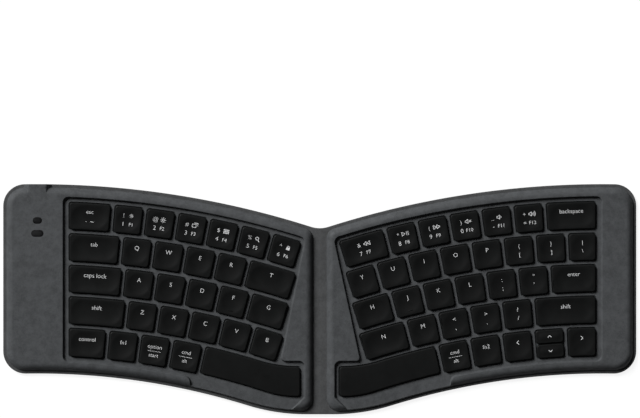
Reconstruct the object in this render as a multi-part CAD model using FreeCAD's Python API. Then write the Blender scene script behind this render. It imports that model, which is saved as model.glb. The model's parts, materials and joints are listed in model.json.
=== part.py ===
import FreeCAD, Part
import math
import os
from collections import namedtuple

# A foldable keyboard, open and flat. All sizes are in millimetres.
# The spine runs along Y at x = 0, the back edge is towards +Y, and z = 0 is the desk under the feet.
# Each half is drawn in half coordinates: X is the distance from the middle of the spine, so the left
# half lies at x = -X and the right half at x = +X.

# Overall outline
overall_width = 379.0
overall_depth = 137.8
back_radius = 540.9
fan_edge_distance = 20.0
outer_back_corner = 13.0
outer_front_corner = 13.5
front_blend_radius = 118.0
front_level_x = 8.18
valley_radius = 17.0

# Heights of the layers
foot_height = 0.8
cover_thickness = 1.1
housing_height = 3.8
tray_thickness = 0.6
plate_thickness = 0.3
membrane_thickness = 0.2
well_depth = 1.95
cap_height = 1.2
cap_below_deck = 0.3
layer_clearance = 0.1
bay_roof = 0.8

# Housing and spine
flange_width = 1.8
closed_gap = 0.3
spine_clearance = 0.05
edge_rounding = 4.6
spine_back_corner = 6.2
spine_front_corner = 7.5
housing_wall = 2.4
tray_clearance = 0.15
plate_inset = 0.5

# Key field
field_back_margin = 9.225
field_front_margin = 10.025
field_inner_x = 12.28
blank_side_left = 38.45
blank_side_right = 23.15
hole_gap = 0.85
cap_gap = 1.225
cap_corner = 1.7
front_row_extra = 0.6
arrow_split_gap = 0.4
well_back_margin = 1.4
well_side_margin = 2.0
well_corner = 3.0
well_bevel = 0.6
well_inner_back_x = 8.9
well_inner_margin_left = 2.4
well_inner_margin_right = 3.0
well_end_x = 9.4
well_shelf_margin = 1.8
relief_turn_margin = 0.9
relief_outer_margin = 6.3
space_end_x = 10.4
space_back_blend = 70.0
space_back_level_x = 14.12
space_front_blend = 62.0
space_front_level_x = 13.67
homing_bar = (3.2, 0.5, 0.2)
homing_bar_offset = 5.2

# Under the caps
dome_base_radius = 2.6
dome_top_radius = 1.5
dome_sides = 6
link_length = 12.4
link_width = 9.6
link_bar = 0.9
link_thickness = 0.3

# Charging socket and its boss
boss_edge_distance = 20.75
boss_width = 16.8
boss_top_width = 10.4
boss_depth = 7.0
socket_width = 8.94
socket_height = 3.16
socket_depth = 7.35
socket_wall = 0.3
socket_tongue = 0.7
socket_tongue_margin = 1.1
socket_roof = 0.29
socket_recess = 0.15
port_clearance = 0.1

# Electronics, battery and magnets in the blank sides
bay_clearance = 0.8
bay_edge_distance = 9.1
board_thickness = 0.8
board_back_distance = 47.9
chip_sizes = ((6.0, 6.0, 1.0), (4.0, 5.0, 0.9), (3.2, 2.5, 0.8))
battery_width = 22.0
battery_height = 2.2
battery_gap = 6.6
magnet_size = (3.2, 12.0, 1.6)
magnet_end_distance = 14.0
window_back_distances = (21.8, 29.5)
window_sizes = ((5.6, 3.9), (7.4, 4.1))
window_light_guide = 1.3
window_fit = 0.05

# Flex cable through the spine
flex_width = 16.0
flex_thickness = 0.15
flex_slot = 0.3
flex_turn_x = 9.0
flex_y = -2.0

# Feet
foot_length = 18.0
foot_width = 6.0
foot_corner = 1.8
foot_edge_distance = 17.5
foot_spine_distance = 17.0
foot_end_distance = 11.9

# Flats in a rounded corner and in a slot's round end, and the turn between those of the housing's rim
flat_count = 3
cap_flat_count = 2
slot_flat_count = 6
rim_turn = math.radians(22.5)
smooth_share = 0.9
coarse_radius = 20.0

LEFT = -1
RIGHT = 1

# A row holds its edge key, the distance from the fan's middle line to the first key after it, and the
# rest with their widths, towards the spine. Distances and widths are in key pitches.
Row = namedtuple("Row", "edge start keys")

ROWS = {
    LEFT: (
        Row("esc", 2.383, (("1", 1), ("2", 1), ("3", 1), ("4", 1), ("5", 1), ("6", 1))),
        Row("tab", 2.651, (("q", 1), ("w", 1), ("e", 1), ("r", 1), ("t", 1.57))),
        Row("caps", 2.719, (("a", 1), ("s", 1), ("d", 1), ("f", 1), ("g", 1.27))),
        Row("shift", 2.819, (("z", 1), ("x", 1), ("c", 1), ("v", 1), ("b", 1))),
        Row("control", 2.22, (("fn", 1), ("option", 1), ("command", 1))),
    ),
    RIGHT: (
        Row("backspace", 1.827, (("equals", 1), ("minus", 1), ("0", 1), ("9", 1), ("8", 1), ("7", 1.52))),
        Row("slash_back", 1.134, (("bracket_close", 1), ("bracket_open", 1), ("p", 1), ("o", 1),
                                  ("i", 1), ("u", 1), ("y", 1))),
        Row("enter", 1.675, (("quote", 1), ("semicolon", 1), ("l", 1), ("k", 1), ("j", 1), ("h", 1.26))),
        Row("shift", 2.178, (("slash", 1), ("period", 1), ("comma", 1), ("m", 1), ("n", 1.54))),
        Row("arrow_right", 1.171, (("arrow_up_down", 1), ("arrow_left", 1), ("fn", 1), ("command", 1))),
    ),
}
wide_key = 1.2

# Worked out from the sizes above
half_width = overall_width / 2
half_depth = overall_depth / 2
fan_centre_x = half_width - fan_edge_distance
fan_centre_y = half_depth - back_radius
fan_centre = (fan_centre_x, fan_centre_y)
front_radius = math.hypot(fan_centre_x - front_level_x,
                          front_blend_radius - half_depth - fan_centre_y) - front_blend_radius
last_row = len(ROWS[LEFT])
row_pitch = (back_radius - front_radius - field_back_margin - field_front_margin) / last_row
field_outer_x = {LEFT: half_width - blank_side_left, RIGHT: half_width - blank_side_right}
boss_x = half_width - boss_edge_distance
bay_outer_x = half_width - bay_edge_distance
board_front_y = half_depth - board_back_distance
cover_bottom = foot_height
cover_top = cover_bottom + cover_thickness
deck_top = cover_top + housing_height
tray_top = cover_top + tray_thickness
plate_top = tray_top + plate_thickness
membrane_top = plate_top + membrane_thickness
web_bottom = membrane_top + layer_clearance
web_top = deck_top - well_depth
cap_top = deck_top - cap_below_deck
cap_bottom = cap_top - cap_height
bay_top = deck_top - bay_roof
crease_x = housing_height + closed_gap / 2
spine_x = crease_x + spine_clearance
cut_margin = 5.0

# Keys that share a node, because they are alike and lie together
KEY_GROUPS = {
    LEFT: {
        "number_keys_left": ("1", "2", "3", "4", "5", "6"),
        "edge_keys_left": ("esc", "tab", "caps"),
        "bottom_keys_left": ("control", "fn", "option", "command"),
    },
    RIGHT: {
        "number_keys_right": ("7", "8", "9", "0", "minus", "equals"),
        "symbol_keys_right": ("bracket_open", "bracket_close", "slash_back", "semicolon", "quote",
                              "comma", "period", "slash"),
        "bottom_keys_right": ("command", "fn", "arrow_left", "arrow_up", "arrow_down", "arrow_right"),
    },
}
SIDE_NAMES = {LEFT: "left", RIGHT: "right"}
HOMING_KEYS = ("f", "j")

Cell = namedtuple("Cell", "name row inner outer near far edge_x")


class Trace:
    """An outline in half coordinates, made of straight lines and arcs."""

    def __init__(self, start):
        self.first = start
        self.last = start
        self.pieces = []

    def line(self, end):
        if math.dist(self.last, end) > 1e-6:
            self.pieces.append((self.last, None, end))
            self.last = end
        return self

    def arc(self, centre, end):
        """An arc about centre from the last point to end, the shorter way round."""
        self.pieces.append((self.last, centre, end))
        self.last = end
        return self

    def eased(self, radius, flats):
        """The same closed outline with each corner rounded in a few flats."""
        self.line(self.first)
        joints = zip(self.pieces[-1:] + self.pieces[:-1], self.pieces)
        trims = [corner_points(before, after, radius, flats) for before, after in joints]
        trace = Trace(trims[0][-1])
        for (_, centre, _), trim in zip(self.pieces, trims[1:] + trims[:1]):
            if centre:
                trace.arc(centre, trim[0])
            for point in trim:
                trace.line(point)
        return trace

    def coarse(self):
        """The same outline with its tight arcs drawn as a few flats, for sheets that nothing shows."""
        trace = Trace(self.first)
        for begin, centre, end in self.pieces:
            if centre is None:
                trace.line(end)
                continue
            if math.dist(centre, end) > coarse_radius:
                trace.arc(centre, end)
                continue
            middle = arc_middle(begin, centre, end)
            trace.line(arc_middle(begin, centre, middle)).line(middle)
            trace.line(arc_middle(middle, centre, end)).line(end)
        return trace

    def wire(self, side, z):
        """The closed outline on one side of the spine, at height z."""
        self.line(self.first)
        edges = []
        for begin, centre, end in self.pieces:
            middle = arc_middle(begin, centre, end) if centre else None
            points = [FreeCAD.Vector(side * p[0], p[1], z) for p in (begin, middle, end) if p]
            curve = Part.Arc(*points) if middle else Part.LineSegment(*points)
            edges.append(curve.toShape())
        return Part.Wire(edges)

    def prism(self, side, bottom, top):
        return prism(self.wire(side, bottom), top - bottom)


def arc_middle(begin, centre, end):
    way = (begin[0] + end[0], begin[1] + end[1])
    return towards(centre, (way[0] / 2, way[1] / 2), math.dist(centre, end))


def along(corner, centre, other, distance):
    """The point at a distance from a corner, on the line or arc that leads to the other end."""
    point = towards(corner, other, distance)
    return towards(centre, point, math.dist(centre, corner)) if centre else point


def corner_points(before, after, radius, flats):
    """The points that round the corner between two pieces, or the corner alone where they run on."""
    corner = after[0]
    start = along(corner, before[1], before[0], radius)
    end = along(corner, after[1], after[2], radius)
    if math.dist(start, end) > smooth_share * 2 * radius:
        return [corner]
    centre = (start[0] + end[0] - corner[0], start[1] + end[1] - corner[1])
    points = []
    for step in range(flats + 1):
        turn = math.pi / 2 * step / flats
        points.append(tuple(centre[i] + (start[i] - centre[i]) * math.cos(turn)
                            + (end[i] - centre[i]) * math.sin(turn) for i in (0, 1)))
    return points


def prism(wire, height):
    return Part.Face(wire).extrude(FreeCAD.Vector(0, 0, height))


def box(x_range, y_range, z_range):
    """A box between the two ends given for each axis, in either order."""
    low = [min(r) for r in (x_range, y_range, z_range)]
    size = [abs(r[1] - r[0]) for r in (x_range, y_range, z_range)]
    return Part.makeBox(*size, FreeCAD.Vector(*low))


def side_box(side, x_range, y_range, z_range):
    return box((side * x_range[0], side * x_range[1]), y_range, z_range)


def on_circle(centre, radius, x, above=True):
    """The point at this X on a circle, on its back side or its front side."""
    reach = math.sqrt(radius**2 - (x - centre[0]) ** 2)
    return (x, centre[1] + (reach if above else -reach))


def towards(start, target, distance):
    """The point at a distance from start, in the direction of target."""
    scale = distance / math.dist(start, target)
    return (start[0] + (target[0] - start[0]) * scale, start[1] + (target[1] - start[1]) * scale)


def fan_point(radius, angle):
    """A point of the key fan, at an angle from the fan's middle line towards the spine."""
    return (fan_centre_x - radius * math.sin(angle), fan_centre_y + radius * math.cos(angle))


def level_blend(radius, blend, level_x):
    """The centre of a round that leaves a fan circle and runs level from this X towards the spine."""
    rise = math.sqrt((radius + blend) ** 2 - (fan_centre_x - level_x) ** 2)
    return (level_x, fan_centre_y + rise)


def half_outline(inset, inner_x, back_corner, front_corner):
    """One half's outline, this far inside the cover's edge, closed by a line at inner_x."""
    back = back_radius - inset
    front = front_radius + inset
    outer_x = half_width - inset
    back_round = outer_back_corner - inset
    front_round = outer_front_corner - inset
    blend = front_blend_radius - inset
    blend_centre = level_blend(front_radius, front_blend_radius, front_level_x)
    spine_back = on_circle(fan_centre, back - back_corner, inner_x + back_corner)
    outer_back = on_circle(fan_centre, back - back_round, outer_x - back_round)
    outer_front = on_circle(fan_centre, front + front_round, outer_x - front_round)
    spine_front = on_circle(blend_centre, blend - front_corner, inner_x + front_corner, above=False)
    trace = Trace((inner_x, spine_front[1]))
    trace.line((inner_x, spine_back[1]))
    trace.arc(spine_back, towards(fan_centre, spine_back, back))
    trace.arc(fan_centre, towards(fan_centre, outer_back, back))
    trace.arc(outer_back, (outer_x, outer_back[1]))
    trace.line((outer_x, outer_front[1]))
    trace.arc(outer_front, towards(fan_centre, outer_front, front))
    trace.arc(fan_centre, towards(fan_centre, blend_centre, front))
    trace.arc(blend_centre, towards(blend_centre, spine_front, blend))
    trace.arc(spine_front, trace.first)
    return trace


def cover_outline():
    """One half of the cover sheet, to the middle of the spine, where the back edge dips in a valley."""
    valley = (0, valley_centre_y())
    outer_back = on_circle(fan_centre, back_radius - outer_back_corner, half_width - outer_back_corner)
    outer_front = on_circle(fan_centre, front_radius + outer_front_corner, half_width - outer_front_corner)
    blend_centre = level_blend(front_radius, front_blend_radius, front_level_x)
    trace = Trace((0, -half_depth))
    trace.line((0, valley[1] - valley_radius))
    trace.arc(valley, towards(fan_centre, valley, back_radius))
    trace.arc(fan_centre, towards(fan_centre, outer_back, back_radius))
    trace.arc(outer_back, (half_width, outer_back[1]))
    trace.line((half_width, outer_front[1]))
    trace.arc(outer_front, towards(fan_centre, outer_front, front_radius))
    trace.arc(fan_centre, towards(fan_centre, blend_centre, front_radius))
    trace.arc(blend_centre, (blend_centre[0], -half_depth))
    return trace


def valley_centre_y():
    """How far back the centre of the valley's round lies, on the spine's middle line."""
    return fan_centre_y + math.sqrt((back_radius + valley_radius) ** 2 - fan_centre_x**2)


def well_outline(side):
    """The sunk key field, open at the front where the rim is cut down under the space bar."""
    back = row_radius(1) + row_pitch / 2 + well_back_margin
    front = row_radius(last_row) - row_pitch / 2 - front_row_extra - well_back_margin
    outer_x = field_outer_x[side] + well_side_margin
    past_edge = -half_depth - cut_margin
    back_level, front_level = space_levels()
    shelf_y = back_level + well_shelf_margin
    turn_y = front_level + relief_turn_margin
    last = row_cells(side, last_row - 1)[-1]
    inner_margin = well_inner_margin_left if side == LEFT else well_inner_margin_right
    inner_x = fan_point(last.inner, last.far)[0] - inner_margin
    front_row = row_radius(last_row)
    relief_x = fan_point(front_row, space_start(side) / front_row)[0] + relief_outer_margin
    trace = Trace(on_circle(fan_centre, back, outer_x))
    trace.arc(fan_centre, on_circle(fan_centre, back, well_inner_back_x))
    trace.line((inner_x, shelf_y))
    trace.line((well_end_x, shelf_y))
    trace.line((well_end_x, turn_y))
    trace.line((well_end_x + turn_y - past_edge, past_edge))
    trace.line((relief_x, past_edge))
    trace.line(on_circle(fan_centre, front, relief_x))
    trace.arc(fan_centre, on_circle(fan_centre, front, outer_x))
    return trace


def row_radius(row):
    return back_radius - field_back_margin - (row - 0.5) * row_pitch


def key_pitch():
    """The pitch at which the longest row ends beside the spine."""
    radius = row_radius(1)
    longest = ROWS[LEFT][0]
    run = radius * math.asin((fan_centre_x - field_inner_x) / radius)
    return run / (longest.start + len(longest.keys))


def row_cells(side, row):
    """The cells of one row, from the outer edge towards the spine, without the space bar."""
    radius = row_radius(row)
    outer = radius + row_pitch / 2
    inner = radius - row_pitch / 2 - (front_row_extra if row == last_row else 0)
    layout = ROWS[side][row - 1]
    edge_x = field_outer_x[side]
    start = layout.start * key_pitch()
    cells = [Cell(layout.edge, row, inner, outer, (fan_centre_x - edge_x) / radius, start / radius, edge_x)]
    for name, width in layout.keys:
        end = start + width * key_pitch()
        cells.append(Cell(name, row, inner, outer, start / radius, end / radius, None))
        start = end
    return cells


def split_arrows(cell):
    """The two half-height cells of the up and down arrows, with a small gap between their caps."""
    split = (cell.inner + cell.outer) / 2
    reach = cap_gap - arrow_split_gap / 2
    up = cell._replace(name="arrow_up", inner=split - reach)
    down = cell._replace(name="arrow_down", outer=split + reach)
    return [up, down]


def hole_cells(side):
    """Every cell that has a hole of its own in the deck, but for the space bar's."""
    return [cell for row in range(1, last_row + 1) for cell in row_cells(side, row)]


def cap_cells(side):
    """Every cell that has a cap of its own, but for the space bar."""
    cells = []
    for cell in hole_cells(side):
        cells += split_arrows(cell) if cell.name == "arrow_up_down" else [cell]
    return cells


def cell_outline(cell, inset):
    """A cell's outline moved inwards. Its ends lie along the fan, or straight where it has an edge X."""
    inner = cell.inner + inset
    outer = cell.outer - inset

    def near(radius):
        if cell.edge_x is not None:
            return on_circle(fan_centre, radius, cell.edge_x - inset)
        return fan_point(radius, cell.near + math.asin(inset / radius))

    def far(radius):
        return fan_point(radius, cell.far - math.asin(inset / radius))

    curved = cell.edge_x is not None or (cell.far - cell.near) * outer > wide_key * key_pitch()
    trace = Trace(far(inner))
    trace.line(far(outer))
    if curved:
        trace.arc(fan_centre, near(outer))
    trace.line(near(outer))
    trace.line(near(inner))
    if curved:
        trace.arc(fan_centre, trace.first)
    return trace


def cell_middle(cell):
    """A cell's middle, and how far it is turned."""
    angle = (cell.near + cell.far) / 2
    return fan_point((cell.inner + cell.outer) / 2, angle), angle


def space_blends():
    """The centres of the rounds that turn the space bar's back and front edges level."""
    radius = row_radius(last_row)
    back = level_blend(radius + row_pitch / 2, space_back_blend, space_back_level_x)
    front = level_blend(radius - row_pitch / 2, space_front_blend, space_front_level_x)
    return back, front


def space_levels():
    """The Y of the space bar's back and front edges beside the spine."""
    back, front = space_blends()
    return back[1] - space_back_blend, front[1] - space_front_blend


def space_outline(side, inset):
    """The space bar follows its row, then turns level towards the spine."""
    radius = row_radius(last_row)
    outer = radius + row_pitch / 2 - inset
    inner = radius - row_pitch / 2 + inset
    start = space_start(side) / radius
    back, front = space_blends()
    back_level, front_level = space_levels()
    trace = Trace((space_end_x + inset, front_level + inset))
    trace.line((space_end_x + inset, back_level - inset))
    trace.line((back[0], back_level - inset))
    trace.arc(back, towards(fan_centre, back, outer))
    trace.arc(fan_centre, fan_point(outer, start + math.asin(inset / outer)))
    trace.line(fan_point(inner, start + math.asin(inset / inner)))
    trace.arc(fan_centre, towards(fan_centre, front, inner))
    trace.arc(front, (front[0], front_level + inset))
    return trace


def space_start(side):
    """The arc length at which the space bar's cell begins."""
    row = ROWS[side][-1]
    return (row.start + len(row.keys)) * key_pitch()


def space_middle(side):
    """The middle of the space bar's straight run, and how far it is turned."""
    radius = row_radius(last_row)
    reach = fan_centre_x - space_end_x
    angle = (space_start(side) / radius + math.asin(reach / radius)) / 2
    return fan_point(radius, angle), angle


def keycap(cell, side):
    cap = cell_outline(cell, cap_gap).eased(cap_corner, cap_flat_count).prism(side, cap_bottom, cap_top)
    if cell.name in HOMING_KEYS:
        cap = cap.fuse(homing_rib(cell, side))
    return cap


def homing_rib(cell, side):
    length, width, height = homing_bar
    rib = Part.makeBox(length, width, 2 * height, FreeCAD.Vector(-length / 2, -width / 2, -height))
    angle = cell_middle(cell)[1]
    place = fan_point(row_radius(cell.row) - homing_bar_offset, angle)
    rib.rotate(FreeCAD.Vector(), FreeCAD.Vector(0, 0, 1), side * math.degrees(angle))
    rib.translate(FreeCAD.Vector(side * place[0], place[1], cap_top))
    return rib


def space_bar(side):
    outline = space_outline(side, cap_gap).eased(cap_corner, cap_flat_count)
    return outline.prism(side, cap_bottom, cap_top)


def key_holes(side):
    """A hole for each cap, and one for the two half-height arrow keys together."""
    outlines = [cell_outline(cell, hole_gap) for cell in hole_cells(side)]
    outlines.append(space_outline(side, hole_gap))
    bottom = web_bottom - layer_clearance
    return [outline.prism(side, bottom, web_top + layer_clearance) for outline in outlines]


def well_cut(side):
    """The key field's hollow, with rounded corners."""
    return well_outline(side).eased(well_corner, flat_count).prism(side, web_top, deck_top + cut_margin)


def soften_well(body):
    """Leans the hollow's walls back at their top."""
    rim = []
    for edge in level_edges(body, deck_top):
        walls = [f for f in body.Faces if any(e.isSame(edge) for e in f.Edges)]
        if any(abs(f.BoundBox.ZMin - web_top) < 0.02 for f in walls):
            rim.append(edge)
    return body.makeChamfer(well_bevel, rim)


def round_rim(block):
    """The housing's top edge rounded in three equal flats, the middle one at 45 degrees."""
    first = edge_rounding * (2 - math.sqrt(2))
    second = edge_rounding * math.tan(rim_turn / 2) / math.cos(rim_turn)
    body = block.makeChamfer(first, level_edges(block, deck_top))
    return body.makeChamfer(second, level_edges(body, deck_top) + level_edges(body, deck_top - first))


def level_edges(body, z):
    return [edge for edge in body.Edges if all(abs(v.Z - z) < 0.001 for v in edge.Vertexes)]


def housing_block(side):
    outline = half_outline(flange_width, spine_x, spine_back_corner, spine_front_corner)
    return round_rim(outline.prism(side, cover_top, deck_top))


def port_y():
    """The boss's back face at the socket, level with the cover's edge."""
    return on_circle(fan_centre, back_radius, boss_x)[1]


def socket_middle_z():
    return deck_top - socket_roof - port_clearance - socket_height / 2


def polygon(points):
    trace = Trace(points[0])
    for point in points[1:]:
        trace.line(point)
    return trace


def stadium(centre, width, height, inset):
    """A slot's outline about a centre in its own plane, moved inwards. Each round end is a few flats."""
    radius = height / 2 - inset
    reach = width / 2 - inset - radius
    points = []
    for way in (1, -1):
        for step in range(slot_flat_count + 1):
            turn = math.pi * step / slot_flat_count
            points.append((centre[0] + way * (reach + radius * math.sin(turn)),
                           centre[1] - way * radius * math.cos(turn)))
    return polygon(points)


def socket_slot(inset, front, back):
    """A stadium through the housing's back wall, at the socket's place."""
    outline = stadium((boss_x, 0), socket_width, socket_height, inset)
    slot = outline.prism(LEFT, 0, back - front)
    slot.rotate(FreeCAD.Vector(), FreeCAD.Vector(1, 0, 0), 90)
    slot.translate(FreeCAD.Vector(0, back, socket_middle_z()))
    return slot


def socket_hollow():
    """Room for the socket, out through the back wall."""
    front = port_y() - socket_depth - socket_recess - port_clearance
    return socket_slot(-port_clearance, front, port_y() + cut_margin)


def port_boss():
    """The raised place for the socket, with sloping sides."""
    section = polygon([(boss_x - boss_width / 2, cover_top), (boss_x + boss_width / 2, cover_top),
                       (boss_x + boss_top_width / 2, deck_top), (boss_x - boss_top_width / 2, deck_top)])
    block = section.prism(LEFT, 0, boss_depth + cut_margin)
    block.rotate(FreeCAD.Vector(), FreeCAD.Vector(1, 0, 0), 90)
    block.translate(FreeCAD.Vector(0, port_y() + cut_margin, 0))
    return block


def deck(side):
    """A housing: rounded outside, a sunk field of key holes on top, hollow underneath."""
    body = housing_block(side)
    if side == LEFT:
        reach = half_outline(0.0, spine_x, spine_back_corner, spine_front_corner)
        boss = port_boss().common(reach.prism(LEFT, cover_top, deck_top))
        body = body.fuse(boss).removeSplitter()
    body = soften_well(body.cut(well_cut(side)))
    pocket = inner_outline(housing_wall)
    cuts = [pocket.prism(side, cover_top - cut_margin, web_bottom)]
    bay = side_box(side, (field_outer_x[side] + well_side_margin + bay_clearance, half_width),
                   (-half_depth, half_depth), (web_bottom - layer_clearance, bay_top))
    cuts.append(bay.common(pocket.prism(side, cover_top, deck_top)))
    cuts += key_holes(side)
    if side == LEFT:
        cuts.append(socket_hollow())
        for y, size in window_places():
            cuts.append(pill(y, size, bay_top - layer_clearance, deck_top + layer_clearance, 0.0))
    return body.cut(cuts)


def window_places():
    return [(half_depth - distance, size) for distance, size in zip(window_back_distances, window_sizes)]


def pill(y, size, bottom, top, inset):
    """A window's shape, above the controller board."""
    return stadium((boss_x, y), size[0], size[1], inset).prism(LEFT, bottom, top)


def inner_outline(inset):
    """The housing's outline moved inwards by a wall and what clears it."""
    return half_outline(flange_width + inset, spine_x + inset,
                        spine_back_corner - inset, spine_front_corner - inset).coarse()


def tray_trace(extra=0.0):
    return inner_outline(housing_wall + tray_clearance + extra)


def flex_cut(side, bottom, top):
    """A slot for the flex cable's upright end."""
    spare = (flex_slot - flex_thickness) / 2
    return side_box(side, (flex_turn_x - spare, flex_turn_x + flex_thickness + spare),
                    (flex_y - flex_width / 2 - spare, flex_y + flex_width / 2 + spare), (bottom, top))


def tray(side):
    sheet = tray_trace().prism(side, cover_top, tray_top)
    cuts = [flex_cut(side, cover_top, tray_top)]
    if side == LEFT:
        cuts.append(socket_hollow())
    return sheet.cut(cuts)


def key_plate(side):
    sheet = tray_trace(plate_inset).prism(side, tray_top, plate_top)
    edge = field_outer_x[side] + well_side_margin
    field = side_box(side, (0, edge), (-half_depth, half_depth), (tray_top, plate_top))
    return sheet.common(field).cut(flex_cut(side, tray_top, plate_top))


def membrane(side):
    """The switch sheet, with a rubber dome under each key."""
    sheet = tray_trace(2 * plate_inset).prism(side, plate_top, membrane_top)
    edge = field_outer_x[side] + well_side_margin - plate_inset
    field = side_box(side, (0, edge), (-half_depth, half_depth), (plate_top, membrane_top))
    domes = [dome(side, place) for place in switch_places(side)]
    return sheet.common(field).fuse(domes)


def switch_places(side):
    """The middle and the turn of each switch. A space bar has one at its middle."""
    return [cell_middle(cell) for cell in cap_cells(side)] + [space_middle(side)]


def dome(side, place):
    """A rubber dome, drawn with a few flat sides."""
    (x, y), angle = place
    turns = [angle + 2 * math.pi * k / dome_sides for k in range(dome_sides)]
    dome_top = cap_bottom - layer_clearance / 2
    rings = []
    for radius, z in ((dome_base_radius, membrane_top), (dome_top_radius, dome_top)):
        rings.append([FreeCAD.Vector(side * x + radius * math.cos(t), y + radius * math.sin(t), z)
                      for t in turns])
    low, high = rings
    walls = [[low[k - 1], low[k], high[k], high[k - 1]] for k in range(dome_sides)]
    faces = [Part.Face(Part.makePolygon(ring + ring[:1])) for ring in [low, high] + walls]
    return Part.Solid(Part.Shell(faces))


def scissor_link(side, place):
    """The two arms of a key's scissor, which cross halfway, one on each side of the dome."""
    (x, y), angle = place
    rise = cap_bottom - membrane_top - layer_clearance - link_thickness
    tilt = math.degrees(math.asin(rise / link_length))
    arms = []
    for way in (-1, 1):
        arm = box((-link_length / 2, link_length / 2), (-link_bar / 2, link_bar / 2),
                  (-link_thickness / 2, link_thickness / 2))
        arm.rotate(FreeCAD.Vector(), FreeCAD.Vector(0, 1, 0), way * tilt)
        arm.translate(FreeCAD.Vector(0, way * (link_width - link_bar) / 2, 0))
        arm.rotate(FreeCAD.Vector(), FreeCAD.Vector(0, 0, 1), side * math.degrees(angle))
        arm.translate(FreeCAD.Vector(side * x, y, (cap_bottom + membrane_top) / 2))
        arms.append(arm)
    return arms


def scissor_links(side):
    """The link arms under each key, but for the two half-height arrow keys."""
    places = [cell_middle(c) for c in hole_cells(side) if c.name != "arrow_up_down"] + [space_middle(side)]
    return Part.makeCompound([arm for place in places for arm in scissor_link(side, place)])


def base_cover(side):
    sheet = cover_outline().prism(side, cover_bottom, cover_top)
    half = side_box(side, (crease_x, half_width + cut_margin),
                    (-half_depth - cut_margin, half_depth + cut_margin), (cover_bottom, cover_top))
    return sheet.common(half).cut([flex_run(side, 0.0), flex_cut(side, flex_level(), cover_top)])


def flex_level():
    """The cable's slot lies in the middle of the cover sheet."""
    return (cover_bottom + cover_top - flex_slot) / 2


def flex_run(side, inner_x):
    spare = (flex_slot - flex_thickness) / 2
    return side_box(side, (inner_x, flex_turn_x + flex_thickness + spare),
                    (flex_y - flex_width / 2 - spare, flex_y + flex_width / 2 + spare),
                    (flex_level(), flex_level() + flex_slot))


def spine_band():
    """The stretch of cover between the two creases."""
    outline = cover_outline()
    sheet = outline.prism(LEFT, cover_bottom, cover_top).fuse(outline.prism(RIGHT, cover_bottom, cover_top))
    strip = box((-crease_x, crease_x), (-half_depth - cut_margin, half_depth + cut_margin),
                (cover_bottom, cover_top))
    band = sheet.common(strip).cut([flex_run(LEFT, 0.0), flex_run(RIGHT, 0.0)])
    return band.removeSplitter()


def flex_cable():
    """A ribbon through the spine that turns up at each end to the membranes."""
    spare = (flex_slot - flex_thickness) / 2
    level = flex_level() + spare
    reach = flex_turn_x + flex_thickness
    width = (flex_y - flex_width / 2, flex_y + flex_width / 2)
    ribbon = box((-reach, reach), width, (level, level + flex_thickness))
    ends = [side_box(side, (flex_turn_x, reach), width, (level, plate_top)) for side in (LEFT, RIGHT)]
    return ribbon.fuse(ends).removeSplitter()


def usb_c_socket():
    """A steel shell with a rounded mouth towards the back, and its tongue."""
    back = port_y() - socket_recess
    front = back - socket_depth
    middle = socket_middle_z()
    mouth = socket_slot(socket_wall, front + 2 * socket_wall, back + cut_margin)
    shell = socket_slot(0.0, front, back).cut(mouth)
    reach = socket_width / 2 - socket_tongue_margin
    tongue = side_box(LEFT, (boss_x - reach, boss_x + reach), (front + socket_wall, back - 2 * socket_wall),
                      (middle - socket_tongue / 2, middle + socket_tongue / 2))
    return shell.fuse(tongue)


def bay_inner_x():
    return field_outer_x[LEFT] + well_side_margin + bay_clearance + plate_inset


def controller_board():
    """The circuit board behind the battery, notched for the socket, with its chips."""
    top = tray_top + board_thickness
    socket_front = port_y() - socket_recess - socket_depth
    board = side_box(LEFT, (bay_inner_x(), bay_outer_x), (board_front_y, socket_front - port_clearance),
                     (tray_top, top))
    chips = []
    y = board_front_y + plate_inset
    for length, width, height in chip_sizes:
        chips.append(side_box(LEFT, (bay_inner_x() + 2, bay_inner_x() + 2 + length), (y + 2, y + 2 + width),
                              (top, top + height)))
        y += width + 3
    return board.fuse(chips)


def bay_front_y():
    """The front end of the room beside the key field."""
    return fan_centre_y + front_radius + flange_width + housing_wall + tray_clearance


def battery():
    """A flat cell between the board and the front wall."""
    middle = (bay_inner_x() + bay_outer_x) / 2
    return side_box(LEFT, (middle - battery_width / 2, middle + battery_width / 2),
                    (bay_front_y() + battery_gap, board_front_y - battery_gap),
                    (tray_top, tray_top + battery_height))


def indicator_windows():
    bottom = deck_top - window_light_guide
    return Part.makeCompound([pill(y, size, bottom, deck_top, window_fit) for y, size in window_places()])


def closing_magnets(side):
    width, length, height = magnet_size
    near = bay_outer_x + plate_inset
    ends = (bay_front_y() + magnet_end_distance, half_depth - 2 * magnet_end_distance)
    blocks = [side_box(side, (near, near + width), (y - length / 2, y + length / 2),
                       (tray_top, tray_top + height)) for y in ends]
    return Part.makeCompound(blocks)


def foot_places():
    """Four places: near the outer edge and near the spine, each as far from the cover's edge."""
    places = []
    for x in (half_width - foot_edge_distance, foot_spine_distance):
        back_y = on_circle(fan_centre, back_radius, x)[1]
        front_y = max(-half_depth, on_circle(fan_centre, front_radius, x)[1])
        places += [(x, back_y - foot_end_distance), (x, front_y + foot_end_distance)]
    return places


def feet(side):
    pads = []
    for x, y in foot_places():
        corners = [(x + i * foot_length / 2, y + j * foot_width / 2)
                   for i, j in ((-1, -1), (1, -1), (1, 1), (-1, 1))]
        pads.append(polygon(corners).eased(foot_corner, 1).prism(side, 0, foot_height))
    return Part.makeCompound(pads)


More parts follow.
